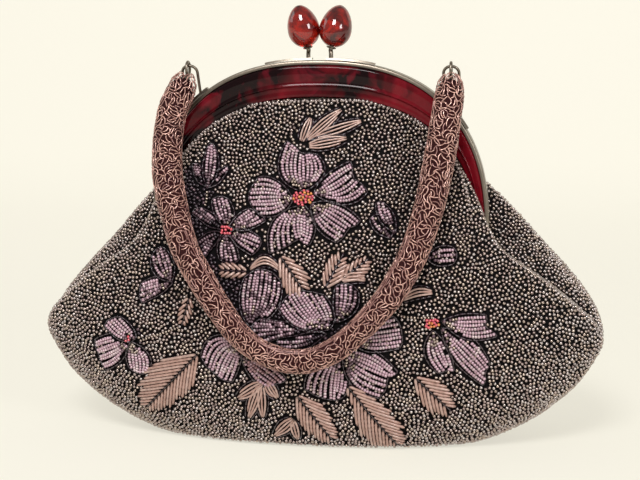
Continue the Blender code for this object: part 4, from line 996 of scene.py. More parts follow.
def wall_grid(side, low=0.0, high=TOP_Z, rows=112, inset=0.0, seam=True):
    """Rows of points over the front (-1) or rear (1) wall, and their outward directions."""
    zs = np.linspace(low, high, rows)
    depth, width, crest, inner_x, inner_y, edge, edge_y = (c[:, None] for c in at_heights(side, zs))
    turn = np.linspace(0, math.pi / 2, ARC_COLUMNS + 1)[None]
    back = np.linspace(0, math.pi / 2, RETURN_COLUMNS + 1)[None, 1:]
    xs = [width * np.sin(turn), inner_x + (width - inner_x) * np.cos(back)]
    ys = [crest + (depth - crest) * np.cos(turn), crest - (crest - inner_y) * np.sin(back)]
    if seam:
        xs += [edge, edge]
        ys += [inner_y + (edge_y - inner_y) * 0.35, edge_y]
    x, y = np.concatenate(xs, 1), np.concatenate(ys, 1)
    x = np.concatenate([-x[:, :0:-1], x], 1)
    y = np.concatenate([y[:, :0:-1], y], 1) * side
    grid = np.stack([x, y, np.broadcast_to(zs[:, None], x.shape)], -1)
    out = units(np.cross(np.gradient(grid, axis=1), np.gradient(grid, axis=0)))
    middle = out[rows // 2, x.shape[1] // 2]
    out *= np.sign(middle[1] * side)
    return grid - out * inset, out


def sheet(outer, inner):
    """Closed sheet between two grids of the same size."""
    rows, count = outer.shape[:2]
    points = np.concatenate([outer.reshape(-1, 3), inner.reshape(-1, 3)])
    one = band_faces(rows, count)
    start = rows * count
    faces = one + [[i + start for i in reversed(face)] for face in one]
    numbers = np.arange(start).reshape(rows, count)
    rim = [*numbers[0], *numbers[1:, -1], *numbers[-1, -2::-1], *numbers[-2:0:-1, 0]]
    rim = [int(number) for number in rim]
    faces += [[here, here + start, after + start, after] for here, after in zip(rim, rim[1:] + rim[:1])]
    return points, faces


def base_shape():
    """Flat base, drawn in a little from the foot of the walls."""
    front, rear = (wall_grid(side, 0.0, 0.001, 2)[0][0][:, :2] for side in (-1, 1))
    outline = np.concatenate([front, rear[::-1]])
    shrunk = outline * (1 - 0.0011 / np.linalg.norm(outline, axis=1, keepdims=True))
    return lofted([np.column_stack([shrunk, np.full(len(shrunk), z)]) for z in (0.0007, 0.0016)])


def pocket_shape():
    """Patch pocket on the front lining, gathered into a small hem at its mouth."""
    up = np.linspace(0, 1, 17)[:, None]
    zs = POCKET_FOOT + POCKET_HEIGHT * up
    x = POCKET_HALF_WIDTH * np.linspace(-1, 1, 25)[None]
    depth, width, crest = at_heights(-1, zs, range(3))
    wall = crest + (depth - crest) * np.sqrt(1 - np.minimum(np.abs(x) / width, 1) ** 2)
    wall -= LINING_INSET + LINING_THICKNESS
    rise = np.minimum((POCKET_HALF_WIDTH - np.abs(x)) / POCKET_EASE, up * POCKET_HEIGHT / POCKET_EASE)
    rise = np.minimum(rise, 1)
    y = wall - 2 * POCKET_THICKNESS - POCKET_DEPTH * (rise * rise * (3 - 2 * rise))
    hem = np.where(up > 0.9, POCKET_HEM, 0.0)
    outer, inner = (
        np.stack(np.broadcast_arrays(x, -ys, zs), -1) for ys in (y + hem, y - POCKET_THICKNESS - hem)
    )
    return sheet(outer, inner)


@functools.cache
def front_tree():
    grid, _ = wall_grid(-1, seam=False)
    return BVHTree.FromPolygons(grid.reshape(-1, 3).tolist(), band_faces(*grid.shape[:2]))


def on_front(x, z):
    """Point and outward direction of the front wall at x and z in millimetres."""
    hit = front_tree().ray_cast(Vector((x * MM, -0.2, max(z, 0.4) * MM)), Vector((0, 1, 0)))
    if hit[0] is None:
        hit = front_tree().find_nearest(Vector((x * MM, -0.01, z * MM)))
    out = hit[1] if hit[1].y < 0 else -hit[1]
    return np.array(hit[0]), np.array(out)


def smooth(points, steps):
    """Curve through the points, with a few steps between each pair."""
    p = np.asarray(points, float)
    made = []
    for i in range(len(p) - 1):
        before, start, end, after = p[max(i - 1, 0)], p[i], p[i + 1], p[min(i + 2, len(p) - 1)]
        for t in np.arange(steps) / steps:
            a = start * (2 * t**3 - 3 * t**2 + 1) + end * (3 * t**2 - 2 * t**3)
            b = (end - before) * (t**3 - 2 * t**2 + t) / 2
            made.append(a + b + (after - start) * (t**3 - t**2) / 2)
    return np.array(made + [p[-1]])


def run_along(path):
    """Distance of each point of a path from its start."""
    return np.concatenate([[0], np.cumsum(np.linalg.norm(np.diff(path, axis=0), axis=1))])


def spaced(path, step=None, count=None):
    """Evenly spaced points along a path."""
    path = np.asarray(path, float)
    run = run_along(path)
    if count is None:
        count = max(int(round(run[-1] / step)), 1) + 1
    goals = np.linspace(0, run[-1], count)
    return np.stack([np.interp(goals, run, path[:, c]) for c in range(path.shape[1])], 1)


class Cells:
    """Places sorted into square cells, so that those near a place are found quickly."""

    def __init__(self, size, girth=None):
        self.size = size
        self.turn = girth and int(girth // size) + 1
        self.cells = {}

    def key(self, place):
        return tuple(int(value // self.size) for value in place)

    def add(self, place):
        self.cells.setdefault(self.key(place), []).append(place)

    def near(self, place):
        """The places in the same cell and in those around it; the last axis closes on itself if there is a girth."""
        for key in itertools.product(*((k - 1, k, k + 1) for k in self.key(place))):
            if self.turn:
                key = (*key[:-1], key[-1] % self.turn)
            yield from self.cells.get(key, ())

    def free(self, place, gap):
        return all(math.dist(other, place) >= gap for other in self.near(place))


class Needlework:
    """Beads and strands laid on the front wall, in the order in which they are sewn."""

    def __init__(self, seed):
        self.rng = np.random.default_rng(seed)
        self.beads = {}
        self.strands = {}
        self.taken = Cells(2)
        self.places = []

    def bead(self, kind, x, z, along, radius, lift, gap):
        """Sews one bead at a place in millimetres, unless another is closer than the gap."""
        if not self.taken.free((x, z), gap):
            return
        point, out = on_front(x, z)
        place = point + out * lift
        if place[2] < radius + FLOOR_GAP:
            return
        self.taken.add((x, z))
        self.places.append(place)
        self.beads.setdefault(kind, []).append((place, (along[0], 0.0, along[1]), out, radius))

    def row(self, kinds, line, radius, pitch, lift, gap):
        """Sews beads along a line. kinds gives a bead colour for a share of the way."""
        points = spaced(line, step=pitch)
        along = units(np.gradient(points, axis=0)) if len(points) > 1 else [(1, 0)]
        for k, (point, direction) in enumerate(zip(points, along)):
            kind = kinds(k / max(len(points) - 1, 1)) if callable(kinds) else kinds
            swell = self.rng.uniform(0.93, 1.05)
            self.bead(kind, point[0], point[1], direction, radius * swell, lift, gap)

    def bugles(self, line):
        """Sews long glass tubes end to end along a line."""
        ends = spaced(line, step=BUGLE_LENGTH)
        for start, end in zip(ends, ends[1:]):
            places = [on_front(*(start + (end - start) * share)) for share in (0.06, 0.5, 0.94)]
            centres = [point + out * BUGLE_LIFT for point, out in places]
            if min(centre[2] for centre in centres) < BUGLE_FLOOR + FLOOR_GAP:
                continue
            self.strands.setdefault("bugle", []).append(tube(centres, BUGLE_RADIUS, 6))
            for share in (0.0, 0.35, 0.7):
                self.taken.add(tuple(start + (end - start) * share))
            self.places += centres

    def strand(self, kind, line, radius, lift):
        """Lays one rope of fine beads, raised in its middle and drawn down at both ends."""
        points = spaced(line, step=1.1)
        if len(points) < 3:
            points = spaced(line, count=3)
        placed = []
        for share, (x, z) in zip(np.linspace(0, 1, len(points)), points):
            point, out = on_front(x, z)
            place = point + out * (lift * (0.35 + 0.65 * math.sin(math.pi * min(max(share, 0.08), 0.92))))
            if place[2] < radius + FLOOR_GAP:
                continue
            placed.append(place)
            self.places.append(place)
            self.taken.add((x, z))
        if len(placed) > 2:
            swell = np.where(np.arange(len(placed)) % 2, 1.07, 0.9)
            swell[[0, -1]] = 0.6
            self.strands.setdefault(kind, []).append(tube(placed, radius * swell, 7))


def pick(rng, shares):
    """Draws a name by its share."""
    names = [name for name, _ in shares]
    weights = np.array([weight for _, weight in shares])
    return names[int(rng.choice(len(names), p=weights / weights.sum()))]


def sew_petal(work, tone, corners, radius, row_pitch):
    """Rows of beads that fan out from the foot of a petal to its notched edge."""
    foot, left_mid, left_tip, notch, right_tip, right_mid = (np.array(c, float) for c in corners)
    t = np.linspace(0, 1, 24)[:, None]

    def side(mid, tip):
        bend = 2 * mid - (foot + tip) / 2
        return foot * (1 - t) ** 2 + bend * 2 * t * (1 - t) + tip * t**2

    left, right = side(left_mid, left_tip), side(right_mid, right_tip)
    rise = (notch - foot) * 0.05
    edge = smooth([left_tip, (left_tip + notch) / 2 + rise, notch, (right_tip + notch) / 2 + rise, right_tip], 6)
    width = max(np.linalg.norm(left_tip - right_tip), np.linalg.norm(left_mid - right_mid))
    rows = max(int(round(width / row_pitch)), 3)
    reach, foot_shares, rest_shares = TONES[tone]
    for k in sorted(range(rows), key=lambda k: abs(k - (rows - 1) / 2)):
        share = (k + 0.5) / rows
        end = edge[int(round(share * (len(edge) - 1)))]
        line = left * (1 - share) + right * share
        line = line + (end - line[-1]) * t**2
        turn = reach * work.rng.uniform(0.6, 1.4)

        def kinds(place, turn=turn):
            return pick(work.rng, foot_shares if place < turn else rest_shares)

        work.row(kinds, line, radius, pitch=1.34, lift=0.75 * MM, gap=1.12)
    for line in (left, right, edge):
        away = line - (left[12] + right[12]) / 2
        work.bugles(line + units(away) * 1.25)


def sew_leaf(work, way, foot, tip, bend, left, right, row_pitch):
    """A leaf of pink-beige strands, slanted from its rib or laid along it."""
    foot, tip = np.array(foot, float), np.array(tip, float)
    run = tip - foot
    length = np.linalg.norm(run)
    ahead = run / length
    across = np.array((-ahead[1], ahead[0]))
    stations = np.linspace(0, 1, 5)
    if way == "long":
        count = max(int(round((max(left) + max(right)) / row_pitch * 1.15)), 3)
        for k in range(count):
            lean = 2 * (k + 0.5) / count - 1
            t = np.linspace(0.02, 1 - 0.22 * abs(lean) * (k % 2), 12)
            widths = np.interp(t, stations, right if lean > 0 else left) * abs(lean)
            line = foot + np.outer(t, run)
            line = line + np.outer(np.sign(lean) * -widths + bend * np.sin(math.pi * t), across)
            # The leaves above the top flower are of finer strands
            radius = (0.42 if foot[1] > 140 else 0.50) * MM
            work.strand("leaf" if k % 2 else "leaf_pale", line, radius, 0.8 * MM)
        for sign, widths in ((1, left), (-1, right)):
            t = np.linspace(0.05, 1, 12)
            edge_widths = np.interp(t, stations, widths) + 0.75
            line = foot + np.outer(t, run) + np.outer(sign * edge_widths + bend * np.sin(math.pi * t), across)
            work.bugles(line)
        return
    slant = math.radians(36)
    for sign, widths in ((1, left), (-1, right)):
        for k, place in enumerate(np.arange(0.4, length - 1.2, row_pitch / math.sin(slant) * 0.83)):
            reach = 0.0
            for _ in range(20):
                end = (place + reach * math.cos(slant)) / length
                reach += 0.4 * (float(np.interp(end, (*stations, 1.08), (*widths, 0.0))) / math.sin(slant) - reach)
            reach *= (0.90 + 0.06 * (k % 4)) * work.rng.uniform(0.97, 1.03)
            if reach < 1.6:
                continue
            direction = ahead * math.cos(slant) + across * sign * math.sin(slant)
            start = foot + ahead * place + across * sign * 0.6
            curl = np.linspace(0, 1, 6)[:, None]
            line = start + direction * reach * curl + ahead * reach * 0.10 * curl**2
            work.strand("leaf" if (k + (sign > 0)) % 3 else "leaf_pale", line, 0.70 * MM, 0.95 * MM)
    work.bugles(np.array([foot, tip]))


@functools.cache
def needlework():
    """The whole embroidery, sewn in a fixed order."""
    sizes = bpy.context.scene.bag_sizes
    work = Needlework(11)
    for centre, half_x, half_z, other in HEARTS:
        for ring, count in ((0.0, 1), (0.42, 5), (0.76, 10), (1.08, 14)):
            for k in range(count):
                turn = math.tau * (k / count) + ring
                along = (math.cos(turn), math.sin(turn))
                x, z = centre[0] + half_x * ring * along[0], centre[1] + half_z * ring * along[1]
                kind = other if work.rng.random() < (0.75 if other == "violet" else 0.24) else "coral"
                work.bead(kind, x, z, along, radius=0.74 * MM, lift=(1.5 - 0.5 * ring) * MM, gap=1.05)
    for tone, *corners in PETALS:
        sew_petal(work, tone, corners, sizes.petal_radius, sizes.petal_row / MM)
    for way, foot, tip, bend, *widths in LEAVES:
        sew_leaf(work, way, foot, tip, bend, widths[0], widths[-1], sizes.leaf_row / MM)
    for line in TENDRILS:
        work.row("bronze", smooth(line, 5), 0.72 * MM, pitch=1.5, lift=0.8 * MM, gap=1.2)
    return work


def point_tree(places):
    tree = KDTree(len(places))
    for i, place in enumerate(places):
        tree.insert(place, i)
    tree.balance()
    return tree


def scatter(points, faces, gap, seed):
    """Even random places on a mesh, no two closer than the gap, then spread apart along it."""
    rng = np.random.default_rng(seed)
    points = np.asarray(points)
    quads = np.array(faces)
    corners = points[np.concatenate([quads[:, [0, 1, 2]], quads[:, [0, 2, 3]]])]
    area = np.linalg.norm(np.cross(corners[:, 1] - corners[:, 0], corners[:, 2] - corners[:, 0]), axis=1) / 2
    # Nine tries for each square of the gap
    count = int(area.sum() / gap**2 * 9)
    chosen = corners[rng.choice(len(corners), count, p=area / area.sum())]
    root, share = np.sqrt(rng.random((count, 1))), rng.random((count, 1))
    tried = chosen[:, 0] * (1 - root) + chosen[:, 1] * root * (1 - share) + chosen[:, 2] * root * share
    cells, kept = Cells(gap), []
    for point in tried.tolist():
        if cells.free(point, gap):
            cells.add(point)
            kept.append(point)
    tree = BVHTree.FromPolygons(points.tolist(), faces)
    places = np.array(kept)
    # Neighbours nearer than the reach push each other apart
    reach = gap * 1.32
    for _ in range(3):
        near = point_tree(places)
        moved = places.copy()
        for i, place in enumerate(places):
            push = np.zeros(3)
            for other, _, distance in near.find_range(place, reach):
                if distance > 1e-9:
                    push += (place - np.array(other)) / distance * (reach - distance)
            found = tree.find_nearest(Vector(place + push * 0.28))
            if found[0] is not None:
                moved[i] = found[0]
        places = moved
    outs = np.array([tree.find_nearest(Vector(place))[1] for place in places])
    return places, outs


def in_patch(x, z):
    return any(((x - cx) / a) ** 2 + ((z - cz) / b) ** 2 < 1 for (cx, cz), a, b in NIGHT_PATCHES)


def ground_kinds(places, seed, patches):
    """Bead colours of the ground: plum with bronze and grey-lilac, greyer at the right tip and the foot."""
    rng = np.random.default_rng(seed)
    kinds = []
    for x, _, z in places / MM:
        tip_share = 0.30 if x > 0 else 0.06
        pale = 0.20 + tip_share * min(max((abs(x) - 70) / 50, 0), 1) + 0.22 * min(max((26 - z) / 26, 0), 1)
        draw = rng.random()
        drift = 0.5 + 0.5 * noise.noise(Vector((x / 18, z / 18, seed)))
        if patches and in_patch(x + 3 * noise.noise(Vector((x / 5, z / 5, 3))), z):
            kinds.append("night" if draw < 0.86 else "violet")
        elif draw < pale:
            kinds.append("silver")
        elif draw < pale + 0.16 + 0.3 * drift:
            kinds.append("bronze")
        else:
            kinds.append("plum")
    return np.array(kinds)


def add_ground(name, side, seed):
    """Seed beads over one whole wall, joined by colour."""
    sizes = bpy.context.scene.bag_sizes
    grid, _ = wall_grid(side, 0.0004, TOP_Z - 0.0008, inset=0.0002, seam=False)
    places, outs = scatter(grid.reshape(-1, 3), band_faces(*grid.shape[:2]), sizes.ground_spacing, seed)
    outs = np.where((np.sum(outs * (places - (0, 0, 0.06)) * (0.3, 1, 0.3), axis=1) < 0)[:, None], -outs, outs)
    if side < 0:
        sewn = point_tree(needlework().places)
        keep = np.array([sewn.find(place)[2] > SEWN_CLEARANCE for place in places])
        places, outs = places[keep], outs[keep]
    rng = np.random.default_rng(seed + 1)
    radii = sizes.ground_radius * rng.uniform(0.90, 1.06, len(places))
    centres = places + outs * (0.0002 + rng.uniform(-0.00012, 0.00022, len(places)))[:, None]
    keep = centres[:, 2] > radii + FLOOR_GAP
    centres, outs, radii = centres[keep], outs[keep], radii[keep]
    along = np.cross(outs, rng.normal(size=outs.shape))
    kinds = ground_kinds(centres, seed, side < 0)
    blend = None if side < 0 else REAR_BEND
    for kind in sorted(set(kinds)):
        look = bead_finishes()[kind]
        chosen = np.flatnonzero(kinds == kind)
        for part, some in enumerate(np.array_split(chosen, len(chosen) // MOST_BEADS + 1), 1):
            shape = strung(centres[some], along[some], outs[some], radii[some], 6)
            beads(f"{name}_{kind}_{part}", shape, look, blend=blend)


def add_edge_line(name, side, body, replaces):
    """One neat line of beads where the cloth meets the resin."""
    zs = np.linspace(HINGE_Z + 0.012, TOP_Z - 0.0006, 60)
    depth, width, crest, edge = at_heights(side, zs, (0, 1, 2, 5))
    edge = edge - 0.0009
    across = np.clip(edge / width, 0, 1)
    y = crest + (depth - crest) * np.sqrt(1 - across**2) + 0.0006
    right = np.stack([edge, side * y, zs], 1)
    line = np.concatenate([right * (-1, 1, 1), right[::-1]])
    path = spaced(smooth(line[::3], 3), step=EDGE_BEAD_STEP)
    along = units(np.gradient(path, axis=0))
    out = np.tile((0.0, float(side), 0.15), (len(path), 1))
    shape = strung(path, along, out, EDGE_BEAD_RADIUS)
    beads(name, shape, bead_finishes()["edge"], body, replaces)


def add_seam_rows():
    """A row of larger beads down each side seam, where the front and the rear wall meet."""
    zs = np.linspace(SEAM_ROW_RADIUS + FLOOR_GAP, HINGE_Z - SEAM_ROW_END, 120)
    (edge,) = at_heights(1, zs, (5,))
    right = spaced(np.stack([edge, 0 * zs, zs], 1), step=1.8 * SEAM_ROW_RADIUS)
    path = np.concatenate([right, right * (-1, 1, 1)])
    along = np.concatenate([units(np.gradient(half, axis=0)) for half in np.array_split(path, 2)])
    out = np.sign(path[:, :1]) * (1.0, 0.0, 0.0)
    shape = strung(path, along, out, SEAM_ROW_RADIUS)
    beads("seam_beads", shape, bead_finishes()["bronze"])


def add_base_beads():
    """Beads under the flat base."""
    xs = np.linspace(0.001 - BASE_BEADS_HALF_LENGTH, BASE_BEADS_HALF_LENGTH - 0.001, 60)
    depths = BASE_BEADS_HALF_DEPTH * np.sqrt(1 - (xs / BASE_BEADS_HALF_LENGTH) ** 2)
    grid = np.array([[(x, y * depth, 0.0011) for x, depth in zip(xs, depths)] for y in np.linspace(-1, 1, 22)])
    places, _ = scatter(grid.reshape(-1, 3), band_faces(*grid.shape[:2]), BASE_BEADS_GAP, 25)
    rng = np.random.default_rng(26)
    outs = np.tile((0.0, 0.0, -1.0), (len(places), 1))
    along = np.cross(outs, rng.normal(size=outs.shape))
    shape = strung(places * (1, 1, 0) + (0, 0, BASE_BEAD_HEIGHT), along, outs, BASE_BEAD_RADIUS)
    beads("base_beads", shape, bead_finishes()["plum"])


# Handle


@functools.cache
def handle_frames():
    """The handle's even centre points in millimetres, front direction, inner directions and distances along it."""
    path = spaced(smooth(HANDLE_LINE, 8), count=420)
    along = units(np.gradient(path, axis=0))
    # Square to the plane in which the handle hangs
    front = np.array((0, -0.9652, 0.2616))
    inner = units(np.cross(front, along))
    inner *= np.where((inner * (np.array((0, -35, 110)) - path)).sum(1) < 0, -1, 1)[:, None]
    return path, front, inner, run_along(path)


def handle_length():
    return handle_frames()[3][-1]


def handle_radius(distance):
    """Radius of the padded handle, which narrows over its caps towards both rings and a little in its lower loop."""
    total = handle_length()
    end = np.minimum(distance, total - distance)
    # The padding swells over 22 mm from the cap
    share = np.clip((end - CAP_END) / 22.0, 0, 1)
    wide = HANDLE_END_RADIUS + (HANDLE_RADIUS - HANDLE_END_RADIUS) * np.sin(share * math.pi / 2)
    wide = wide * (1 - LOOP_THINNING * np.sin(math.pi * distance / total) ** 4)
    return np.where(share > 0, wide, np.interp(end, (3.2, 4.6, 8.0, CAP_END), (2.4, 3.9, 5.9, HANDLE_END_RADIUS)))


def on_handle(distance, turn, lift):
    """Points on the handle, in metres: distance along it, turn from its front towards the inside, lift off it."""
    path, front, inner, run = handle_frames()
    centre, inside = (
        np.stack([np.interp(distance, run, rows[:, c]) for c in range(3)], -1) for rows in (path, inner)
    )
    inside = units(inside)
    out = np.cos(turn)[..., None] * front + np.sin(turn)[..., None] * inside
    # The padding is a little uneven
    plump = 1 + 0.02 * np.sin(distance / 9.0 + 1.3) + 0.012 * np.sin(distance / 4.1 + turn)
    return (centre + out * (handle_radius(distance) * plump + lift)[..., None]) * MM


def sleeve_shape():
    """Padded tube of cloth under the strands."""
    distances = np.linspace(CAP_END, handle_length() - CAP_END, 240)
    turns = np.arange(28) * math.tau / 28
    distances, turns = np.meshgrid(distances, turns, indexing="ij")
    return lofted(on_handle(distances, turns, np.full(turns.shape, SLEEVE_SINK)))


def strand_maze(seed):
    """Short curled strands all over the handle: their middles keep apart, and their ends run up to each other."""
    rng = np.random.default_rng(seed)
    sizes = bpy.context.scene.bag_sizes
    total = handle_length()
    gap = sizes.strand_spacing / MM
    girth = math.tau * HANDLE_RADIUS
    cells, shapes = Cells(gap, girth), []

    def crowded(x, y, scale):
        for other_x, other_y in cells.near((x, y)):
            apart = abs(y - other_y)
            if math.hypot(x - other_x, min(apart, girth - apart) * scale) < gap:
                return True
        return False

    for k in range(STRAND_TRIES[-1][0]):
        length = next(length for last, length in STRAND_TRIES if k < last) * rng.uniform(0.8, 1.2)
        s, a, heading = rng.uniform(5.0, total - 5.0), rng.uniform(0, girth), rng.uniform(0, math.tau)
        bend = rng.choice((-1, 1)) * rng.uniform(0.06, 0.52)
        steps = np.linspace(-0.5, 0.5, 8)
        headings = heading + bend * length * steps
        scale = float(handle_radius(s)) / HANDLE_RADIUS
        along = s + np.cumsum(np.cos(headings)) * length / 7
        around = a + np.cumsum(np.sin(headings)) * length / 7
        if along.min() < 3.4 or along.max() > total - 3.4:
            continue
        # The inner rows lie here
        turn = math.degrees(around[3] / HANDLE_RADIUS) % 360
        if abs(turn - 46) < 12 and 0.25 < s / total < 0.75:
            continue
        spots = [(x, y % girth) for x, y in zip(along[STRAND_MIDDLE].tolist(), around[STRAND_MIDDLE].tolist())]
        if any(crowded(*spot, scale) for spot in spots):
            continue
        for spot in spots:
            cells.add(spot)
        rise = 0.40 * np.sin(np.linspace(0.12, 0.88, 8) * math.pi) ** 0.5 - 0.36
        swell = np.where(np.arange(8) % 2, 1.10, 0.88)
        swell[[0, -1]] *= 0.7
        shapes.append(tube(on_handle(along, around / HANDLE_RADIUS, rise), sizes.strand_radius * swell, 5))
    return shapes


def inner_rows():
    """Close parallel strands along the inner edge of the handle's lower loop."""
    total = handle_length()
    shapes = []
    for k, degrees in enumerate((41, 52)):
        low, high = total * (0.24 + 0.008 * k), total * (0.76 - 0.008 * k)
        distance = np.linspace(low, high, 330)
        turn = np.full_like(distance, math.radians(degrees)) + 0.05 * np.sin(distance / 7 + k)
        swell = np.where(np.arange(330) % 2, 1.10, 0.86)
        shapes.append(tube(on_handle(distance, turn, np.full_like(distance, -0.1)), INNER_ROW_RADIUS * swell, 6))
    return merged(shapes)


def cap_parts(mirror):
    """Cloth cap at one end of the handle, with the end's place and direction."""
    path, _, _, run = handle_frames()
    foot, inner_end = (path[0], CAP_END) if mirror < 0 else (path[-1], run[-1] - CAP_END)
    axis = units(path[np.searchsorted(run, inner_end)] - foot)
    heights = np.linspace(0, 1, 12)
    radii = np.interp(heights, (0, 0.15, 0.6, 1.0), (2.6, 4.4, 5.6, 6.0))
    profile = [(r, CAP_START + CAP_LENGTH * h) for r, h in zip(radii, heights)]
    profile = [(1.5, CAP_START), *profile, (1.5, CAP_END)]
    cloth = turned([(r * MM, h * MM) for r, h in profile], foot * MM, axis, 28)
    return cloth, foot, axis


def ring_parts(foot, axis):
    """Wire ring that hangs in the bail, with its shank."""
    across = np.array((1.0, 0, 0))
    up = units(axis - across * axis.dot(across))
    forward = np.cross(across, up)
    centre = foot + axis * RING_PLACE
    steps, sides = 32, 10
    around = np.linspace(0, math.tau, sides + 1)[:-1, None]
    rings = []
    for turn in np.linspace(0, math.tau, steps + 1)[:-1]:
        out = up * math.cos(turn) + forward * math.sin(turn)
        rings.append(centre + out * RING_RADIUS + (np.cos(around) * out + np.sin(around) * across) * RING_WIRE)
    points = np.concatenate(rings) * MM
    faces = [[i % len(points) for i in face] for face in band_faces(steps + 1, sides, closed=True)]
    start = centre + up * RING_RADIUS
    end = foot + axis * (CAP_START + 7.2)
    return merged([(points, faces), tube(np.array([start, (start + end) / 2, end]) * MM, 0.0012, 12)])


def bail_shape(mirror):
    """Upright wire loop on its small foot plate."""

    def rim_place(width):
        angle = angle_at(width)
        x, _, z = outer_arch(angle) - inward(outer_arch, angle) * 0.0008
        return np.array((x, -CLASP_DEPTH, z))

    place = abs(HANDLE_LINE[0 if mirror < 0 else -1][0]) * MM
    top = np.array((place, BAIL_TOP_Y, BAIL_TOP_Z))
    inner, outer = rim_place(place - BAIL_HALF_WIDTH), rim_place(place + BAIL_HALF_WIDTH)
    lean = units((top - (inner + outer) / 2) * (0, 1, 1))
    bend = top - lean * BAIL_HALF_WIDTH
    turns = np.linspace(0, math.pi, 17)[:, None]
    arc = bend + BAIL_HALF_WIDTH * (np.sin(turns) * lean - np.cos(turns) * (1, 0, 0))
    wire = tube(np.array([inner, *arc, outer]) * (mirror, 1, 1), BAIL_WIRE, 12)
    widths = np.linspace(place - PLATE_HALF_LENGTH, place + PLATE_HALF_LENGTH, 14)
    return merged([wire, rim_strip(widths, np.full(14, 0.002), 0.0002, PLATE_TOP, mirror, -1)])


# Operators


class HANDBAG_OT_frame(bpy.types.Operator):
    """Nickel rims, hinge rivets, backing plates and the marbled resin arches"""

    bl_idname = "handbag.frame"
    bl_label = "Frame"

    def execute(self, context):
        colours = context.scene.bag_colours
        metal, resin = nickel(), marbled_resin(tuple(colours.resin))
        for half, side, body in HALVES:
            rim = merged([rim_shape(side), lug_shape(side, -1), lug_shape(side, 1)])
            crescent, plate = resin_shape(side), plate_shape(side)
            piece(half + "_rim_channel", rim, metal, body, [half + "_rim"], 35, 0.00018)
            arch_node = [half + "_resin_arch"]
            piece(half + "_resin_crescent", crescent, resin, body, arch_node, 50, 0.0002)
            piece(half + "_backing_plate", plate, metal, body, [half + "_frame_plate"], 30)
        for label, mirror in ENDS:
            piece("rivet_" + label, rivet_shape(mirror), metal, "bag", ["hinge_rivet_" + label], 35)
        return {"FINISHED"}


class HANDBAG_OT_clasp(bpy.types.Operator):
    """Two crossed resin knobs on bent stems, each on its strip"""

    bl_idname = "handbag.clasp"
    bl_label = "Clasp"

    def execute(self, context):
        metal, resin = nickel(), clear_resin(tuple(context.scene.bag_colours.knob))
        for half, side, body in HALVES:
            arm = merged(clasp_shapes(side))
            piece(half + "_clasp_strip_and_stem", arm, metal, body, [half + "_clasp_arm"], 35)
            piece(half + "_knob", knob_shape(side), resin, body, [half + "_clasp_knob"])
        return {"FINISHED"}


class HANDBAG_OT_cloth(bpy.types.Operator):
    """Pouch cloth, base, satin lining and slip pocket"""

    bl_idname = "handbag.cloth"
    bl_label = "Cloth and lining"

    def execute(self, context):
        ground = woven_cloth("black_cotton_net", linear("#0E090A"), linear("#060405"))
        lining = satin(tuple(context.scene.bag_colours.satin))
        walls = (
            ("front", -1, ["front_panel"], ["lining_front"], None),
            ("rear", 1, ["back_panel", "back_yoke"], ["lining_back", "lining_yoke"], REAR_BEND),
        )
        for half, side, panels, _, blend in walls:
            outer, out = wall_grid(side, inset=CLOTH_INSET)
            cloth = sheet(outer, outer - out * CLOTH_SHEET)
            piece(half + "_cloth", cloth, ground, "bag", panels, blend=blend)
        for half, side, _, linings, blend in walls:
            inner, out = wall_grid(side, LINING_LOW, LINING_HIGH, inset=LINING_INSET)
            inside = sheet(inner, inner - out * LINING_THICKNESS)
            piece(half + "_satin", inside, lining, "bag", linings, blend=blend)
        piece("slip_pocket", pocket_shape(), lining, "bag", ["lining_pocket"], 40)
        piece("base_cloth", base_shape(), ground, "bag", ["base_panel"])
        return {"FINISHED"}


class HANDBAG_OT_embroidery(bpy.types.Operator):
    """Petals, leaves, flower hearts and tendrils on the front"""

    bl_idname = "handbag.embroidery"
    bl_label = "Embroidery"

    def execute(self, context):
        work = needlework()
        for kind, sewn in sorted(work.beads.items()):
            shape = strung(*(np.array(column) for column in zip(*sewn)))
            beads("embroidery_" + kind, shape, bead_finishes()[kind])
        leaf = tuple(context.scene.bag_colours.leaf)
        looks = {
            "leaf": glass_beads("pink_beige_rope", leaf, linear("#987468"), 0.34, 0.15),
            "leaf_pale": glass_beads("pale_beige_rope", linear("#C9A89B"), linear("#A0827A"), 0.34, 0.15),
            "bugle": glass_beads("plum_bugle_glass", linear("#3E2A34"), linear("#1A0F15"), 0.26),
        }
        for kind, shapes in sorted(work.strands.items()):
            beads("embroidery_" + kind, merged(shapes), looks[kind])
        return {"FINISHED"}


class HANDBAG_OT_ground(bpy.types.Operator):
    """Seed beads of the front, the rear, the base and the side seams, and the line at the frame"""

    bl_idname = "handbag.ground"
    bl_label = "Ground beads"

    def execute(self, context):
        add_ground("front_beads", -1, 21)
        add_ground("rear_beads", 1, 22)
        add_edge_line("front_edge_line", -1, "bag", ["front_edge_beads"])
        add_edge_line("rear_edge_line", 1, "rear_frame", ["rear_edge_beads"])
        add_seam_rows()
        add_base_beads()
        return {"FINISHED"}


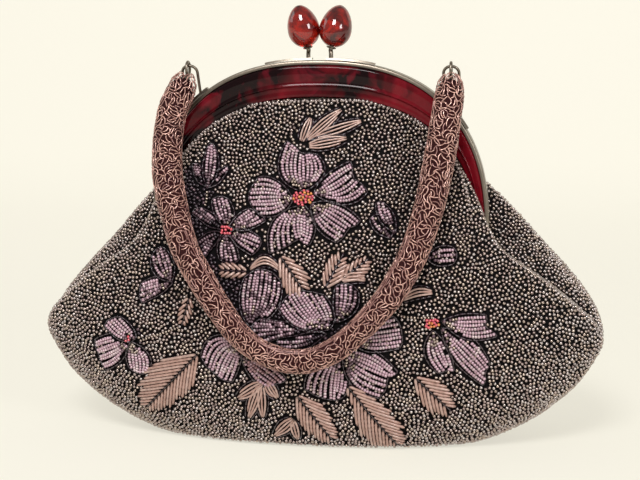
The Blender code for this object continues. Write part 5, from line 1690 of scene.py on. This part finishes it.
class HANDBAG_OT_handle(bpy.types.Operator):
    """Padded handle with its looped strands, caps, rings and bails"""

    bl_idname = "handbag.handle"
    bl_label = "Handle"

    def execute(self, context):
        metal = nickel()
        cloth = woven_cloth("maroon_cotton", linear("#441919"), linear("#220C0D"), 0.4 * MM)
        rose = tuple(context.scene.bag_colours.strand)
        upper = glass_beads("rose_strand_beads", rose, linear("#8A5A52"), 0.2, 0.35)
        # A darker copy of the rose beads for every fourth strand and the inner rows: painted shade, as on strands
        # lying under the others
        under = glass_beads("shaded_strand_beads", linear("#B2847C"), linear("#744640"), 0.26, 0.3)
        nodes = ["handle_sleeve", "handle_core"]
        sleeve = piece("handle_padding", sleeve_shape(), cloth, "handle", nodes)
        strands = strand_maze(31)
        for k in range(4):
            look = under if k == 3 else upper
            beads(f"handle_strands_{k + 1}", merged(strands[k::4]), look, "handle")
        beads("handle_inner_rows", inner_rows(), under, "handle")
        for label, mirror in ENDS:
            cap, foot, axis = cap_parts(mirror)
            piece("cap_cloth_" + label, cap, cloth, "handle", ["handle_cap_" + label])
            piece("ring_" + label, ring_parts(foot, axis), metal, "handle", ["handle_ring_" + label])
            piece("bail_" + label, bail_shape(mirror), metal, "bag", ["handle_bail_" + label], 40)
        return {"FINISHED"}


class HANDBAG_OT_stage(bpy.types.Operator):
    """Pale floor and backdrop, soft lights and the camera"""

    bl_idname = "handbag.stage"
    bl_label = "Stage"

    def execute(self, context):
        line = [(-0.66, 0.0), (0.9, 0.0)]
        line += [(0.9 + 0.5 * math.sin(t), 0.5 - 0.5 * math.cos(t)) for t in np.linspace(0.15, math.pi / 2, 10)]
        line += [(1.4, 2.2)]
        grid = np.array([[(x, y, z) for x in np.linspace(-3, 3, 7)] for y, z in line])
        mesh = bpy.data.meshes.new("paper_sweep")
        mesh.from_pydata(grid.reshape(-1, 3).tolist(), [], band_faces(*grid.shape[:2]))
        mesh.shade_smooth()
        mesh.materials.append(paper())
        floor = bpy.data.objects.new("paper_sweep", mesh)
        context.scene.collection.objects.link(floor)
        light_room(context.scene)
        add_camera(context.scene)
        return {"FINISHED"}


def light_room(scene):
    """Soft world light and three lamps."""
    world = scene.world or bpy.data.worlds.new("room")
    scene.world = world
    world.use_nodes = True
    background = world.node_tree.nodes["Background"]
    background.inputs["Color"].default_value = linear("#F4F1EA")
    background.inputs["Strength"].default_value = 0.42
    for name, (place, size, power) in LAMPS.items():
        lamp = bpy.data.lights.new(name, "AREA")
        lamp.size = size
        lamp.energy = power
        made = bpy.data.objects.new(name, lamp)
        made.location = place
        made.rotation_euler = (Vector(LAMP_AIM) - Vector(place)).to_track_quat("-Z", "Y").to_euler()
        scene.collection.objects.link(made)


def add_camera(scene):
    """Camera in front of the bag, a little above it and to its right."""
    level = math.cos(CAMERA_RISE)
    back = Vector((math.sin(CAMERA_TURN) * level, -math.cos(CAMERA_TURN) * level, math.sin(CAMERA_RISE)))
    data = bpy.data.cameras.new("camera")
    data.lens = CAMERA_LENS
    camera = bpy.data.objects.new("camera", data)
    camera.location = Vector(CAMERA_AIM) + back * CAMERA_DISTANCE
    camera.rotation_euler = back.to_track_quat("Z", "Y").to_euler()
    scene.collection.objects.link(camera)
    scene.camera = camera
    scene.view_settings.view_transform = "Standard"


STAGES = ("stage", "frame", "clasp", "cloth", "embroidery", "ground", "handle")


class HANDBAG_PT_panel(bpy.types.Panel):
    """Lists the steps, sizes and colours of the handbag"""

    bl_idname = "HANDBAG_PT_panel"
    bl_label = "Handbag"
    bl_space_type = "VIEW_3D"
    bl_region_type = "UI"
    bl_category = "Handbag"

    def draw(self, context):
        for group in (context.scene.bag_sizes, context.scene.bag_colours):
            box = self.layout.box()
            for name in group.__annotations__:
                box.prop(group, name)
        for name in STAGES:
            self.layout.operator("handbag." + name)


CLASSES = (
    BagSizes,
    BagColours,
    HANDBAG_OT_stage,
    HANDBAG_OT_frame,
    HANDBAG_OT_clasp,
    HANDBAG_OT_cloth,
    HANDBAG_OT_embroidery,
    HANDBAG_OT_ground,
    HANDBAG_OT_handle,
    HANDBAG_PT_panel,
)


def register():
    for cls in CLASSES:
        bpy.utils.register_class(cls)
    bpy.types.Scene.bag_sizes = PointerProperty(type=BagSizes)
    bpy.types.Scene.bag_colours = PointerProperty(type=BagColours)


def unregister():
    del bpy.types.Scene.bag_colours
    del bpy.types.Scene.bag_sizes
    for cls in reversed(CLASSES):
        bpy.utils.unregister_class(cls)


def main():
    register()
    for name in STAGES:
        getattr(bpy.ops.handbag, name)()


if __name__ == "__main__":
    main()
